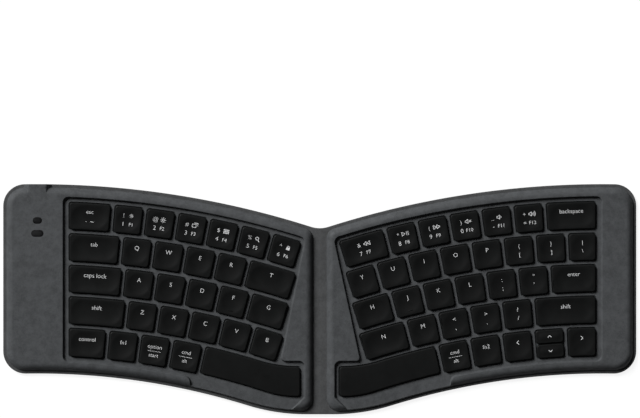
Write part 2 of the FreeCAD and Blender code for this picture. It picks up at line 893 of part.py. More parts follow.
def keycaps(side):
    """Each key node of one half: a cap by itself, or a group of caps."""
    caps = {cell.name: keycap(cell, side) for cell in cap_cells(side)}
    caps["space"] = space_bar(side)
    nodes = {}
    for group, names in KEY_GROUPS[side].items():
        nodes[group] = Part.makeCompound([caps.pop(name) for name in names])
    for name, cap in caps.items():
        both_sides = name in ("shift", "space")
        nodes[f"key_{name}_{SIDE_NAMES[side]}" if both_sides else f"key_{name}"] = cap
    return nodes


def build():
    parts = {"spine_band": spine_band(), "flex_cable": flex_cable()}
    for side, name in SIDE_NAMES.items():
        parts[f"deck_{name}"] = deck(side)
        parts[f"tray_{name}"] = tray(side)
        parts[f"base_cover_{name}"] = base_cover(side)
        parts[f"key_plate_{name}"] = key_plate(side)
        parts[f"membrane_{name}"] = membrane(side)
        parts[f"scissor_links_{name}"] = scissor_links(side)
        parts[f"closing_magnets_{name}"] = closing_magnets(side)
        parts[f"feet_{name}"] = feet(side)
        parts.update(keycaps(side))
    parts["usb_c_socket"] = usb_c_socket()
    parts["controller_board"] = controller_board()
    parts["battery"] = battery()
    parts["indicator_windows"] = indicator_windows()
    return parts


os.makedirs("parts", exist_ok=True)
for node, shape in build().items():
    shape.exportStep(f"parts/{node}.step")
    print(node, len(shape.Solids), shape.isValid(), round(shape.Volume, 1))
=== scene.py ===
"""A foldable keyboard: fine housings, keycaps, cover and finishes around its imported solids."""

from __future__ import annotations

import functools
import json
import logging
import math
from collections.abc import Callable, Sequence
from dataclasses import dataclass, field, replace
from enum import Enum

import bmesh
import bpy
import numpy as np
from mathutils import Vector
from mathutils.geometry import delaunay_2d_cdt
from mathutils.kdtree import KDTree
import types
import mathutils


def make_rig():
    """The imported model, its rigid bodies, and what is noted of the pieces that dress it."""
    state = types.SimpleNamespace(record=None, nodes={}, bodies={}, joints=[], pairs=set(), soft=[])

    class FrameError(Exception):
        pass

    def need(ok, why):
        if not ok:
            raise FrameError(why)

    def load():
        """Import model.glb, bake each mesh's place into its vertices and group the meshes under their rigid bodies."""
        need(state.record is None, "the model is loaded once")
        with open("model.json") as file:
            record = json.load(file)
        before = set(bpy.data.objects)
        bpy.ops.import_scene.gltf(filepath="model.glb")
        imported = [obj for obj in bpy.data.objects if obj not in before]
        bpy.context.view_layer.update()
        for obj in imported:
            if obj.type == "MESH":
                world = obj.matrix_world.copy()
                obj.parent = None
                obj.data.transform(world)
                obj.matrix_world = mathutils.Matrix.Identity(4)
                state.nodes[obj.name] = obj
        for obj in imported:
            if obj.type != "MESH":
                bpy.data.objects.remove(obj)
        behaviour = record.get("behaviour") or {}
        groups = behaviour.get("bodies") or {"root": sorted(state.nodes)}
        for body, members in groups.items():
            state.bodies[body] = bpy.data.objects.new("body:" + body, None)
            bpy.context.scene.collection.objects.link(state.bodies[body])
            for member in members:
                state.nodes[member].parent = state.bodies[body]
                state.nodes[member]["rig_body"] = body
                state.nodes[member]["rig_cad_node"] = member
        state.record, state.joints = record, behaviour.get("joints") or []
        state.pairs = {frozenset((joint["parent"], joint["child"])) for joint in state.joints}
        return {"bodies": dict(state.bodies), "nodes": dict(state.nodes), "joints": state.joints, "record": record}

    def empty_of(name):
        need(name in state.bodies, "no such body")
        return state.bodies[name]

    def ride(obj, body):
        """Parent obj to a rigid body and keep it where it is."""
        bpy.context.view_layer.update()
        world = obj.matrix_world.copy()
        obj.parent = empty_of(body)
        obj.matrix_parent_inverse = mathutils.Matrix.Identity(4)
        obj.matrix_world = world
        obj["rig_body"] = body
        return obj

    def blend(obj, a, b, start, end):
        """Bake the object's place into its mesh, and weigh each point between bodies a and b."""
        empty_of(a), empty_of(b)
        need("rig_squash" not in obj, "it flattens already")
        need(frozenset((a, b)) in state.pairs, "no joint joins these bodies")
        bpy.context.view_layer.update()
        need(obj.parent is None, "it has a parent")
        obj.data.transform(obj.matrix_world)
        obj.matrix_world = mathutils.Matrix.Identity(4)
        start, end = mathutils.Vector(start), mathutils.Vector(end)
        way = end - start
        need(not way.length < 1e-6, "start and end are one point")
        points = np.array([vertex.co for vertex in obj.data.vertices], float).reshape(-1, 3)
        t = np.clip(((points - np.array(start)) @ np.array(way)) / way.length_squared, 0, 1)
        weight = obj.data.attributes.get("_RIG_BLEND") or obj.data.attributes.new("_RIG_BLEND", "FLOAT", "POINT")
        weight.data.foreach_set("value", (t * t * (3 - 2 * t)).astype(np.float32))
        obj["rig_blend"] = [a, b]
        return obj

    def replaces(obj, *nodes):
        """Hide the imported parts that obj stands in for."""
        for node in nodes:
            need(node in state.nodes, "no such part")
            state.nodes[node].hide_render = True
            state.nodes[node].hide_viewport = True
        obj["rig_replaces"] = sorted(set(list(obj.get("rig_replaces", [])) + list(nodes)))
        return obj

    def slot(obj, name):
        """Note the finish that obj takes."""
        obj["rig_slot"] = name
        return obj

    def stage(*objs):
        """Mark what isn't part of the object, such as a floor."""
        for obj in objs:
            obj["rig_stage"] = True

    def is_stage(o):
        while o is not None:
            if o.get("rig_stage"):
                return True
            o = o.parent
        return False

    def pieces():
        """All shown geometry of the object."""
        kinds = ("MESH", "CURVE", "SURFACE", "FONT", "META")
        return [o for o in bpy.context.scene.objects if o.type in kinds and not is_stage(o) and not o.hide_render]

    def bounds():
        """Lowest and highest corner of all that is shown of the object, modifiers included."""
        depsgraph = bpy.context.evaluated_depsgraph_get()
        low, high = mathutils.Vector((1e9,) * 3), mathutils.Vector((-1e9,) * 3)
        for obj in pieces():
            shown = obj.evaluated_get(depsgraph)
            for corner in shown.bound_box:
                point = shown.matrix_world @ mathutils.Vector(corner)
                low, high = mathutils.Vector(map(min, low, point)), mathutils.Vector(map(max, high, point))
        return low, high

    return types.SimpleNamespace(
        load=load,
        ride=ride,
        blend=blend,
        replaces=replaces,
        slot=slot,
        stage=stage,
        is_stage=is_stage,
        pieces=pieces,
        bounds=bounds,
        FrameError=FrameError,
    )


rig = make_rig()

LOG = logging.getLogger("keyboard")
# A millimetre in metres, and the gap in millimetres under which two places count as one.
MM = 0.001
TOUCHING = 0.001
SIZE_FILE = "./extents.json"

Point = tuple[float, float]
Colour = tuple[float, float, float]
Ring = np.ndarray


class Side(Enum):
    """A half of the keyboard. Half coordinates measure X from the spine, so world x is value times X."""

    LEFT = -1
    RIGHT = 1

    @property
    def word(self) -> str:
        """The side's name in lower case."""
        return self.name.lower()

    @property
    def body(self) -> str:
        """The body of the frame that this half rides on."""
        return f"{self.word}_half"


# Outlines


@dataclass
class Path:
    """A closed outline of straight lines and arcs, in half coordinates and millimetres."""

    start: Point
    pieces: list[tuple[Point, Point | None, Point]] = field(default_factory=list)

    @property
    def last(self) -> Point:
        """The outline's last point so far."""
        return self.pieces[-1][2] if self.pieces else self.start

    def line(self, end: Point) -> Path:
        """Adds a straight line.

        Args:
            end: Where it ends.

        Returns:
            The same outline.
        """
        if math.dist(self.last, end) > 1e-6:
            self.pieces.append((self.last, None, end))
        return self

    def arc(self, centre: Point, end: Point) -> Path:
        """Adds an arc about centre to end, the shorter way round."""
        self.pieces.append((self.last, centre, end))
        return self

    def eased(self, radius: float, flats: int = 8) -> Path:
        """Rounds each corner of the closed outline.

        Args:
            radius: How far from the corner the round starts.
            flats: How many short lines draw it.

        Returns:
            A new outline. A corner that runs nearly straight on is kept.
        """
        self.line(self.start)
        joints = zip(self.pieces[-1:] + self.pieces[:-1], self.pieces)
        trims = [corner_points(before, after, radius, flats) for before, after in joints]
        path = Path(trims[0][-1])
        for (_, centre, _), trim in zip(self.pieces, trims[1:] + trims[:1]):
            if centre:
                path.arc(centre, trim[0])
            for point in trim:
                path.line(point)
        return path

    def shares(self, step: float, turn: float = 6.0) -> list[int]:
        """How many parts each piece is drawn in.

        Args:
            step: The longest part, in millimetres.
            turn: The widest part of an arc, in degrees.

        Returns:
            One count for each piece.
        """
        self.line(self.start)
        counts = []
        for begin, centre, end in self.pieces:
            if centre is None:
                counts.append(max(1, math.ceil(math.dist(begin, end) / step)))
                continue
            angle = arc_turn(begin, centre, end)
            length = abs(angle) * math.dist(centre, end)
            counts.append(max(math.ceil(length / step), math.ceil(abs(math.degrees(angle)) / turn), 1))
        return counts

    def ring(self, step: float = 1.2, counts: Sequence[int] | None = None) -> Ring:
        """The outline as points.

        Args:
            step: The longest part, used where no counts are given.
            counts: One count for each piece, so that parallel outlines get matching points.

        Returns:
            An array of points, without a repeat of the first.
        """
        own = self.shares(step)
        if counts is None or len(counts) != len(own):
            counts = own
        points: list[Point] = []
        for (begin, centre, end), count in zip(self.pieces, counts):
            if centre is None:
                points += [mixed(begin, end, k / count) for k in range(count)]
                continue
            first = math.atan2(begin[1] - centre[1], begin[0] - centre[0])
            radius = math.dist(centre, end)
            angle = arc_turn(begin, centre, end)
            for k in range(count):
                way = first + angle * k / count
                points.append((centre[0] + radius * math.cos(way), centre[1] + radius * math.sin(way)))
        return np.array(points)


def mixed(begin: Point, end: Point, share: float) -> Point:
    """The point at a share of the way from begin to end."""
    return (begin[0] + (end[0] - begin[0]) * share, begin[1] + (end[1] - begin[1]) * share)


def arc_turn(begin: Point, centre: Point, end: Point) -> float:
    """The signed angle of an arc, the shorter way round.

    Args:
        begin: Where the arc starts.
        centre: Its centre.
        end: Where it ends.

    Returns:
        The angle in radians, above zero where the arc runs anticlockwise.
    """
    first = math.atan2(begin[1] - centre[1], begin[0] - centre[0])
    second = math.atan2(end[1] - centre[1], end[0] - centre[0])
    return (second - first + math.pi) % (2 * math.pi) - math.pi


def towards(start: Point, target: Point, distance: float) -> Point:
    """The point at a distance from start, in the direction of target."""
    return mixed(start, target, distance / math.dist(start, target))


def on_circle(centre: Point, radius: float, x: float, above: bool = True) -> Point:
    """The point at this X on a circle, on its back side or its front side."""
    reach = math.sqrt(radius**2 - (x - centre[0]) ** 2)
    return (x, centre[1] + (reach if above else -reach))


def corner_points(before: tuple, after: tuple, radius: float, flats: int) -> list[Point]:
    """The points that round the corner between two pieces of an outline.

    Args:
        before: The piece that ends in the corner.
        after: The piece that starts there.
        radius: How far from the corner the round starts.
        flats: How many short lines draw it.

    Returns:
        The round's points, or the corner alone where the pieces run on.
    """
    corner = after[0]
    ends = []
    for centre, other in ((before[1], before[0]), (after[1], after[2])):
        point = towards(corner, other, radius)
        ends.append(towards(centre, point, math.dist(centre, corner)) if centre else point)
    start, end = ends
    if math.dist(start, end) > 1.8 * radius:
        return [corner]
    middle = (start[0] + end[0] - corner[0], start[1] + end[1] - corner[1])
    points = []
    for step in range(flats + 1):
        turn = math.pi / 2 * step / flats
        points.append(tuple(middle[i] + (start[i] - middle[i]) * math.cos(turn)
                            + (end[i] - middle[i]) * math.sin(turn) for i in (0, 1)))
    return points


def stadium(centre: Point, width: float, height: float, flats: int = 12) -> Ring:
    """A slot's outline with two round ends.

    Args:
        centre: Its middle.
        width: Its whole length.
        height: Its whole height, which is also the width of each round end.
        flats: How many short lines draw each round end.

    Returns:
        Its points.
    """
    radius = height / 2
    reach = width / 2 - radius
    points = []
    for way in (1, -1):
        for step in range(flats + 1):
            turn = math.pi * step / flats
            points.append((centre[0] + way * (reach + radius * math.sin(turn)),
                           centre[1] - way * radius * math.cos(turn)))
    return np.array(points)


def quarter(radius: float, flats: int = 4) -> list[Point]:
    """A quarter round's steps, each as how far in and how far down it lies, from foot to top."""
    turns = [math.pi / 2 * k / flats for k in range(flats + 1)]
    return [(radius * (1 - math.cos(turn)), radius * (1 - math.sin(turn))) for turn in turns]


def area_of(ring: Ring) -> float:
    """The signed area inside a ring, above zero where it runs anticlockwise."""
    after = np.roll(ring, -1, axis=0)
    return float((ring[:, 0] * after[:, 1] - after[:, 0] * ring[:, 1]).sum() / 2)


def moved_out(ring: Ring, distance: float) -> Ring:
    """Moves a dense ring outwards.

    Args:
        ring: The ring.
        distance: How far, below zero for inwards.

    Returns:
        The moved ring, point for point.
    """
    before = ring - np.roll(ring, 1, axis=0)
    after = np.roll(ring, -1, axis=0) - ring
    normals = []
    for run in (before, after):
        run = run / np.linalg.norm(run, axis=1, keepdims=True)
        normals.append(np.stack([run[:, 1], -run[:, 0]], axis=1))
    first, second = normals
    both = (first + second) / (1 + (first * second).sum(axis=1, keepdims=True))
    return ring + both * distance * math.copysign(1.0, area_of(ring))


def is_inside(points: np.ndarray, ring: Ring) -> np.ndarray:
    """Which points lie inside a ring.

    Args:
        points: The points to test.
        ring: The closed outline.

    Returns:
        True or false for each point.
    """
    order = np.argsort(points[:, 1])
    x, y = points[order].T
    odd = np.zeros(len(points), bool)
    for (x0, y0), (x1, y1) in zip(ring.tolist(), np.roll(ring, -1, axis=0).tolist()):
        if y0 == y1:
            continue
        first, last = np.searchsorted(y, (min(y0, y1), max(y0, y1)))
        part = slice(first, last)
        odd[part] ^= x[part] < x0 + (y[part] - y0) * (x1 - x0) / (y1 - y0)
    inside = np.empty(len(points), bool)
    inside[order] = odd
    return inside


def tree_of(points: np.ndarray) -> KDTree:
    """Makes a search tree of points in the plan.

    Args:
        points: The points.

    Returns:
        The tree, which numbers them in their order.
    """
    tree = KDTree(len(points))
    for k, (x, y) in enumerate(points.tolist()):
        tree.insert((x, y, 0.0), k)
    tree.balance()
    return tree


def depth_inside(points: np.ndarray, ring: Ring) -> np.ndarray:
    """How far each point lies inside a ring, below zero where it lies outside.

    Args:
        points: The points to measure.
        ring: The closed outline, in short lines.

    Returns:
        One distance for each point.
    """
    tree = tree_of(ring)
    nearest = np.array([tree.find((x, y, 0.0))[1] for x, y in points], int)
    gaps = []
    for start in (nearest - 1, nearest):
        begin = ring[start]
        run = ring[(start + 1) % len(ring)] - begin
        away = points - begin
        share = np.clip((away * run).sum(axis=1) / np.maximum((run**2).sum(axis=1), 1e-12), 0, 1)
        gaps.append(np.linalg.norm(away - share[:, None] * run, axis=1))
    near = np.minimum(*gaps)
    return np.where(is_inside(points, ring), near, -near)


def carried(points: np.ndarray, ring: Ring, other: Ring) -> np.ndarray:
    """Carries points that lie on one ring over to the same places on another.

    Args:
        points: The points.
        ring: The ring that they lie on.
        other: A ring with matching points.

    Returns:
        Their places on the other ring.
    """
    runs = np.roll(ring, -1, axis=0) - ring
    away = points[:, None, :] - ring
    share = np.clip((away * runs).sum(axis=2) / (runs**2).sum(axis=1), 0, 1)
    gap = np.linalg.norm(away - share[..., None] * runs, axis=2)
    best = gap.argmin(axis=1)
    part = share[np.arange(len(points)), best][:, None]
    return other[best] * (1 - part) + other[(best + 1) % len(other)] * part


def near_ring(points: np.ndarray, ring: Ring, margin: float) -> np.ndarray:
    """Finds the points that lie within a ring's own box.

    Args:
        points: The points to test.
        ring: The ring.
        margin: How far its box is widened.

    Returns:
        True or false for each point.
    """
    low = ring.min(axis=0) - margin
    high = ring.max(axis=0) + margin
    return np.all((points >= low) & (points <= high), axis=1)


def soft_least(first: np.ndarray, second: np.ndarray | float, width: float) -> np.ndarray:
    """The lesser of two heights, eased where they cross.

    Args:
        first: One height at each point.
        second: The other.
        width: How far apart they may be where the easing ends.

    Returns:
        The eased heights.
    """
    mix = np.clip(0.5 + (second - first) / (2 * width), 0, 1)
    return first * mix + second * (1 - mix) - width * mix * (1 - mix)


def rounded(distance: np.ndarray, radius: float) -> np.ndarray:
    """How far a quarter round has dropped at a distance from its outer end."""
    left = radius - np.clip(distance, 0, radius)
    return radius - np.sqrt(radius**2 - left**2)


# The key fan


@dataclass(frozen=True)
class Cell:
    """A key's place in the fan: its two radii, its two angles, and its X where its outer side is straight."""

    name: str
    row: int
    inner: float
    outer: float
    near: float
    far: float
    edge_x: float | None = None


@dataclass(frozen=True)
class Row:
    """A row: its edge key, where the next key starts, and the rest with their widths, in key pitches."""

    edge: str
    start: float
    keys: tuple[tuple[str, float], ...]


ROWS = {
    Side.LEFT: (
        Row("esc", 2.383, (("1", 1), ("2", 1), ("3", 1), ("4", 1), ("5", 1), ("6", 1))),
        Row("tab", 2.651, (("q", 1), ("w", 1), ("e", 1), ("r", 1), ("t", 1.57))),
        Row("caps", 2.719, (("a", 1), ("s", 1), ("d", 1), ("f", 1), ("g", 1.27))),
        Row("shift", 2.819, (("z", 1), ("x", 1), ("c", 1), ("v", 1), ("b", 1))),
        Row("control", 2.22, (("fn", 1), ("option", 1), ("command", 1))),
    ),
    Side.RIGHT: (
        Row("backspace", 1.827, (("equals", 1), ("minus", 1), ("0", 1), ("9", 1), ("8", 1), ("7", 1.52))),
        Row("slash_back", 1.134, (("bracket_close", 1), ("bracket_open", 1), ("p", 1), ("o", 1),
                                  ("i", 1), ("u", 1), ("y", 1))),
        Row("enter", 1.675, (("quote", 1), ("semicolon", 1), ("l", 1), ("k", 1), ("j", 1), ("h", 1.26))),
        Row("shift", 2.178, (("slash", 1), ("period", 1), ("comma", 1), ("m", 1), ("n", 1.54))),
        Row("arrow_right", 1.171, (("arrow_up_down", 1), ("arrow_left", 1), ("fn_two", 1), ("command", 1))),
    ),
}

KEY_GROUPS = {
    Side.LEFT: {
        "number_keys_left": ("1", "2", "3", "4", "5", "6"),
        "edge_keys_left": ("esc", "tab", "caps"),
        "bottom_keys_left": ("control", "fn", "option", "command"),
    },
    Side.RIGHT: {
        "number_keys_right": ("7", "8", "9", "0", "minus", "equals"),
        "symbol_keys_right": ("bracket_open", "bracket_close", "slash_back", "semicolon", "quote",
                              "comma", "period", "slash"),
        "bottom_keys_right": ("command", "fn_two", "arrow_left", "arrow_up", "arrow_down", "arrow_right"),
    },
}


@dataclass(frozen=True)
class Layout:
    """The keyboard's plan and heights, in half coordinates and millimetres."""

    half_width: float = 189.5
    half_depth: float = 68.9
    back_radius: float = 540.9
    fan_edge: float = 20.0
    outer_back_corner: float = 13.0
    outer_front_corner: float = 13.5
    front_blend: float = 118.0
    front_level_x: float = 8.18
    valley_radius: float = 17.0
    flange: float = 1.8
    spine_x: float = 4.0
    spine_back_corner: float = 6.2
    spine_front_corner: float = 7.5
    housing_wall: float = 2.4
    field_back: float = 9.225
    field_front: float = 10.025
    field_inner_x: float = 12.28
    blank_left: float = 38.45
    blank_right: float = 23.15
    hole_gap: float = 0.85
    cap_gap: float = 1.225
    front_row_extra: float = 0.6
    arrow_split: float = 0.4
    well_back: float = 1.4
    well_side: float = 2.0
    well_corner: float = 3.0
    well_inner_back_x: float = 8.9
    well_inner_left: float = 2.4
    well_inner_right: float = 3.0
    well_end_x: float = 9.4
    well_shelf: float = 1.8
    well_overrun: float = 5.0
    relief_turn: float = 0.9
    relief_outer: float = 6.3
    space_end_x: float = 10.4
    space_back_blend: float = 70.0
    space_back_level_x: float = 14.12
    space_front_blend: float = 62.0
    space_front_level_x: float = 13.67
    homing_offset: float = 5.2
    boss_edge: float = 20.75
    boss_width: float = 16.8
    boss_top_width: float = 10.4
    boss_depth: float = 7.0
    bay_clearance: float = 0.8
    cover_bottom: float = 0.8
    cover_top: float = 1.9
    deck_top: float = 5.7
    web_bottom: float = 3.1
    web_top: float = 3.75
    cap_top: float = 5.4
    cap_bottom: float = 4.2
    bay_top: float = 4.9
    port_z: float = 3.73

    @property
    def fan_centre(self) -> Point:
        """The centre of the key fan's circles."""
        return (self.half_width - self.fan_edge, self.half_depth - self.back_radius)

    @property
    def front_radius(self) -> float:
        """The fan circle of the cover's front edge."""
        x, y = self.fan_centre
        return math.hypot(x - self.front_level_x, self.front_blend - self.half_depth - y) - self.front_blend

    @property
    def row_pitch(self) -> float:
        """The distance between two rows."""
        return (self.back_radius - self.front_radius - self.field_back - self.field_front) / 5

    @property
    def key_pitch(self) -> float:
        """The distance between two keys of a row."""
        radius = self.row_radius(1)
        run = radius * math.asin((self.fan_centre[0] - self.field_inner_x) / radius)
        return run / (ROWS[Side.LEFT][0].start + len(ROWS[Side.LEFT][0].keys))

    @property
    def blend_centre(self) -> Point:
        """The centre of the round that turns the front edge level."""
        return self.level_blend(self.front_radius, self.front_blend, self.front_level_x)

    @property
    def boss_x(self) -> float:
        """The middle of the charging socket's boss."""
        return self.half_width - self.boss_edge

    @property
    def port_y(self) -> float:
        """The housing's back face at the charging socket."""
        return on_circle(self.fan_centre, self.back_radius, self.boss_x)[1]

    def field_outer_x(self, side: Side) -> float:
        """The key field's outer edge on one side."""
        return self.half_width - (self.blank_left if side is Side.LEFT else self.blank_right)

    def row_radius(self, row: float) -> float:
        """The circle through the middle of a row."""
        return self.back_radius - self.field_back - (row - 0.5) * self.row_pitch

    def fan_point(self, radius: float, angle: float) -> Point:
        """A point of the fan, at an angle from its middle line towards the spine."""
        x, y = self.fan_centre
        return (x - radius * math.sin(angle), y + radius * math.cos(angle))

    def level_blend(self, radius: float, blend: float, level_x: float) -> Point:
        """The centre of a round that leaves a fan circle and runs level towards the spine."""
        x, y = self.fan_centre
        return (level_x, y + math.sqrt((radius + blend) ** 2 - (x - level_x) ** 2))

    def round_outer_end(self, path: Path, inset: float) -> Path:
        """Draws an outline round a half's outer end, from its back edge to where the front turns level.

        Args:
            path: The outline so far.
            inset: How far inside the cover's edge it lies.

        Returns:
            The same outline.
        """
        centre = self.fan_centre
        back = self.back_radius - inset
        front = self.front_radius + inset
        outer_x = self.half_width - inset
        back_round = self.outer_back_corner - inset
        front_round = self.outer_front_corner - inset
        outer_back = on_circle(centre, back - back_round, outer_x - back_round)
        outer_front = on_circle(centre, front + front_round, outer_x - front_round)
        path.arc(centre, towards(centre, outer_back, back))
        path.arc(outer_back, (outer_x, outer_back[1]))
        path.line((outer_x, outer_front[1]))
        path.arc(outer_front, towards(centre, outer_front, front))
        return path.arc(centre, towards(centre, self.blend_centre, front))

    def housing_outline(self, inset: float) -> Path:
        """A housing's outline.

        Args:
            inset: How far inside the housing's own outer wall it lies.

        Returns:
            The outline, from the spine's front corner.
        """
        cover_inset = self.flange + inset
        inner_x = self.spine_x + inset
        back = self.back_radius - cover_inset
        blend = self.front_blend - cover_inset
        back_round = self.spine_back_corner - inset
        front_round = self.spine_front_corner - inset
        spine_back = on_circle(self.fan_centre, back - back_round, inner_x + back_round)
        spine_front = on_circle(self.blend_centre, blend - front_round, inner_x + front_round, False)
        path = Path((inner_x, spine_front[1])).line((inner_x, spine_back[1]))
        path.arc(spine_back, towards(self.fan_centre, spine_back, back))
        self.round_outer_end(path, cover_inset)
        path.arc(self.blend_centre, towards(self.blend_centre, spine_front, blend))
        return path.arc(spine_front, path.start)

    def cover_outline(self, inset: float, inner_x: float) -> Path:
        """One half of the cover sheet outside the fold.

        Args:
            inset: How far inside the cover's edge it lies.
            inner_x: Where the sheet is cut off towards the spine.

        Returns:
            The outline, from the front end of the cut.
        """
        front_y = -self.half_depth + inset
        path = Path((inner_x, front_y)).line(on_circle(self.fan_centre, self.back_radius - inset, inner_x))
        return self.round_outer_end(path, inset).arc(self.blend_centre, (self.blend_centre[0], front_y))

    def back_edge_y(self, x: float) -> float:
        """The Y of the cover's back edge near the spine, where it dips in a valley.

        Args:
            x: Where to measure.

        Returns:
            The edge's Y there.
        """
        centre = self.fan_centre
        valley_y = centre[1] + math.sqrt((self.back_radius + self.valley_radius) ** 2 - centre[0] ** 2)
        tangent_x = towards(centre, (0.0, valley_y), self.back_radius)[0]
        if x < tangent_x:
            return valley_y - math.sqrt(self.valley_radius**2 - x**2)
        return on_circle(centre, self.back_radius, x)[1]

    def row_cells(self, side: Side, row: int) -> list[Cell]:
        """The cells of one row, without the space bar.

        Args:
            side: The half.
            row: The row, from 1 at the back to 5 at the front.

        Returns:
            The cells, from the outer edge towards the spine.
        """
        radius = self.row_radius(row)
        outer = radius + self.row_pitch / 2
        inner = radius - self.row_pitch / 2 - (self.front_row_extra if row == 5 else 0)
        plan = ROWS[side][row - 1]
        edge_x = self.field_outer_x(side)
        start = plan.start * self.key_pitch
        near = (self.fan_centre[0] - edge_x) / radius
        cells = [Cell(plan.edge, row, inner, outer, near, start / radius, edge_x)]
        for name, width in plan.keys:
            end = start + width * self.key_pitch
            cells.append(Cell(name, row, inner, outer, start / radius, end / radius))
            start = end
        return cells

    def hole_cells(self, side: Side) -> list[Cell]:
        """Every cell with a hole of its own, but for the space bar's."""
        return [cell for row in range(1, 6) for cell in self.row_cells(side, row)]

    def cap_cells(self, side: Side) -> list[Cell]:
        """Every cell with a cap of its own, but for the space bar.

        Args:
            side: The half.

        Returns:
            The cells, with the one that two arrow keys share split in two.
        """
        cells = []
        for cell in self.hole_cells(side):
            if cell.name != "arrow_up_down":
                cells.append(cell)
                continue
            split = (cell.inner + cell.outer) / 2
            reach = self.cap_gap - self.arrow_split / 2
            cells.append(replace(cell, name="arrow_up", inner=split - reach))
            cells.append(replace(cell, name="arrow_down", outer=split + reach))
        return cells

    def cell_outline(self, cell: Cell, inset: float) -> Path:
        """A cell's outline, whose ends lie along the fan, or straight at an edge X.

        Args:
            cell: The cell.
            inset: How far inside the cell it lies.

        Returns:
            The outline.
        """
        inner = cell.inner + inset
        outer = cell.outer - inset

        def near(radius: float) -> Point:
            """The end away from the spine.

            Args:
                radius: The circle that it lies on.

            Returns:
                Its place.
            """
            if cell.edge_x is not None:
                return on_circle(self.fan_centre, radius, cell.edge_x - inset)
            return self.fan_point(radius, cell.near + math.asin(inset / radius))

        def far(radius: float) -> Point:
            """The end towards the spine."""
            return self.fan_point(radius, cell.far - math.asin(inset / radius))

        path = Path(far(inner)).line(far(outer))
        path.arc(self.fan_centre, near(outer)).line(near(inner))
        return path.arc(self.fan_centre, path.start)

    def cell_middle(self, cell: Cell) -> tuple[Point, float]:
        """A cell's middle, and how far it is turned."""
        angle = (cell.near + cell.far) / 2
        return self.fan_point((cell.inner + cell.outer) / 2, angle), angle

    def space_start(self, side: Side) -> float:
        """The arc length at which the space bar's cell begins."""
        row = ROWS[side][-1]
        return (row.start + len(row.keys)) * self.key_pitch

    def space_levels(self) -> tuple[Point, Point, float, float]:
        """How the space bar turns level.

        Returns:
            The centres of its back and front rounds, and the level Y of its two edges.
        """
        radius = self.row_radius(5)
        back = self.level_blend(radius + self.row_pitch / 2, self.space_back_blend, self.space_back_level_x)
        front = self.level_blend(radius - self.row_pitch / 2, self.space_front_blend,
                                 self.space_front_level_x)
        return back, front, back[1] - self.space_back_blend, front[1] - self.space_front_blend

    def space_outline(self, side: Side, inset: float) -> Path:
        """The space bar's outline: it follows its row, then turns level towards the spine.

        Args:
            side: The half.
            inset: How far inside the bar's cell it lies.

        Returns:
            The outline, from the front end at the spine.
        """
        radius = self.row_radius(5)
        outer = radius + self.row_pitch / 2 - inset
        inner = radius - self.row_pitch / 2 + inset
        start = self.space_start(side) / radius
        back, front, back_level, front_level = self.space_levels()
        end_x = self.space_end_x + inset
        path = Path((end_x, front_level + inset)).line((end_x, back_level - inset))
        path.line((back[0], back_level - inset)).arc(back, towards(self.fan_centre, back, outer))
        path.arc(self.fan_centre, self.fan_point(outer, start + math.asin(inset / outer)))
        path.line(self.fan_point(inner, start + math.asin(inset / inner)))
        path.arc(self.fan_centre, towards(self.fan_centre, front, inner))
        return path.arc(front, (front[0], front_level + inset))

    def well_outline(self, side: Side) -> Path:
        """The sunk key field, open at the front where the rim is cut down under the space bar.

        Args:
            side: The half.

        Returns:
            The outline at its floor, with sharp corners, which runs out past the front edge.
        """
        back = self.row_radius(1) + self.row_pitch / 2 + self.well_back
        front = self.row_radius(5) - self.row_pitch / 2 - self.front_row_extra - self.well_back
        outer_x = self.field_outer_x(side) + self.well_side
        past_edge = -self.half_depth - self.well_overrun
        _, _, back_level, front_level = self.space_levels()
        shelf_y = back_level + self.well_shelf
        turn_y = front_level + self.relief_turn
        last = self.row_cells(side, 4)[-1]
        margin = self.well_inner_left if side is Side.LEFT else self.well_inner_right
        inner_x = self.fan_point(last.inner, last.far)[0] - margin
        radius = self.row_radius(5)
        relief_x = self.fan_point(radius, self.space_start(side) / radius)[0] + self.relief_outer
        path = Path(on_circle(self.fan_centre, back, outer_x))
        path.arc(self.fan_centre, on_circle(self.fan_centre, back, self.well_inner_back_x))
        path.line((inner_x, shelf_y)).line((self.well_end_x, shelf_y)).line((self.well_end_x, turn_y))
        path.line((self.well_end_x + turn_y - past_edge, past_edge)).line((relief_x, past_edge))
        path.line(on_circle(self.fan_centre, front, relief_x))
        return path.arc(self.fan_centre, on_circle(self.fan_centre, front, outer_x))


# Meshes


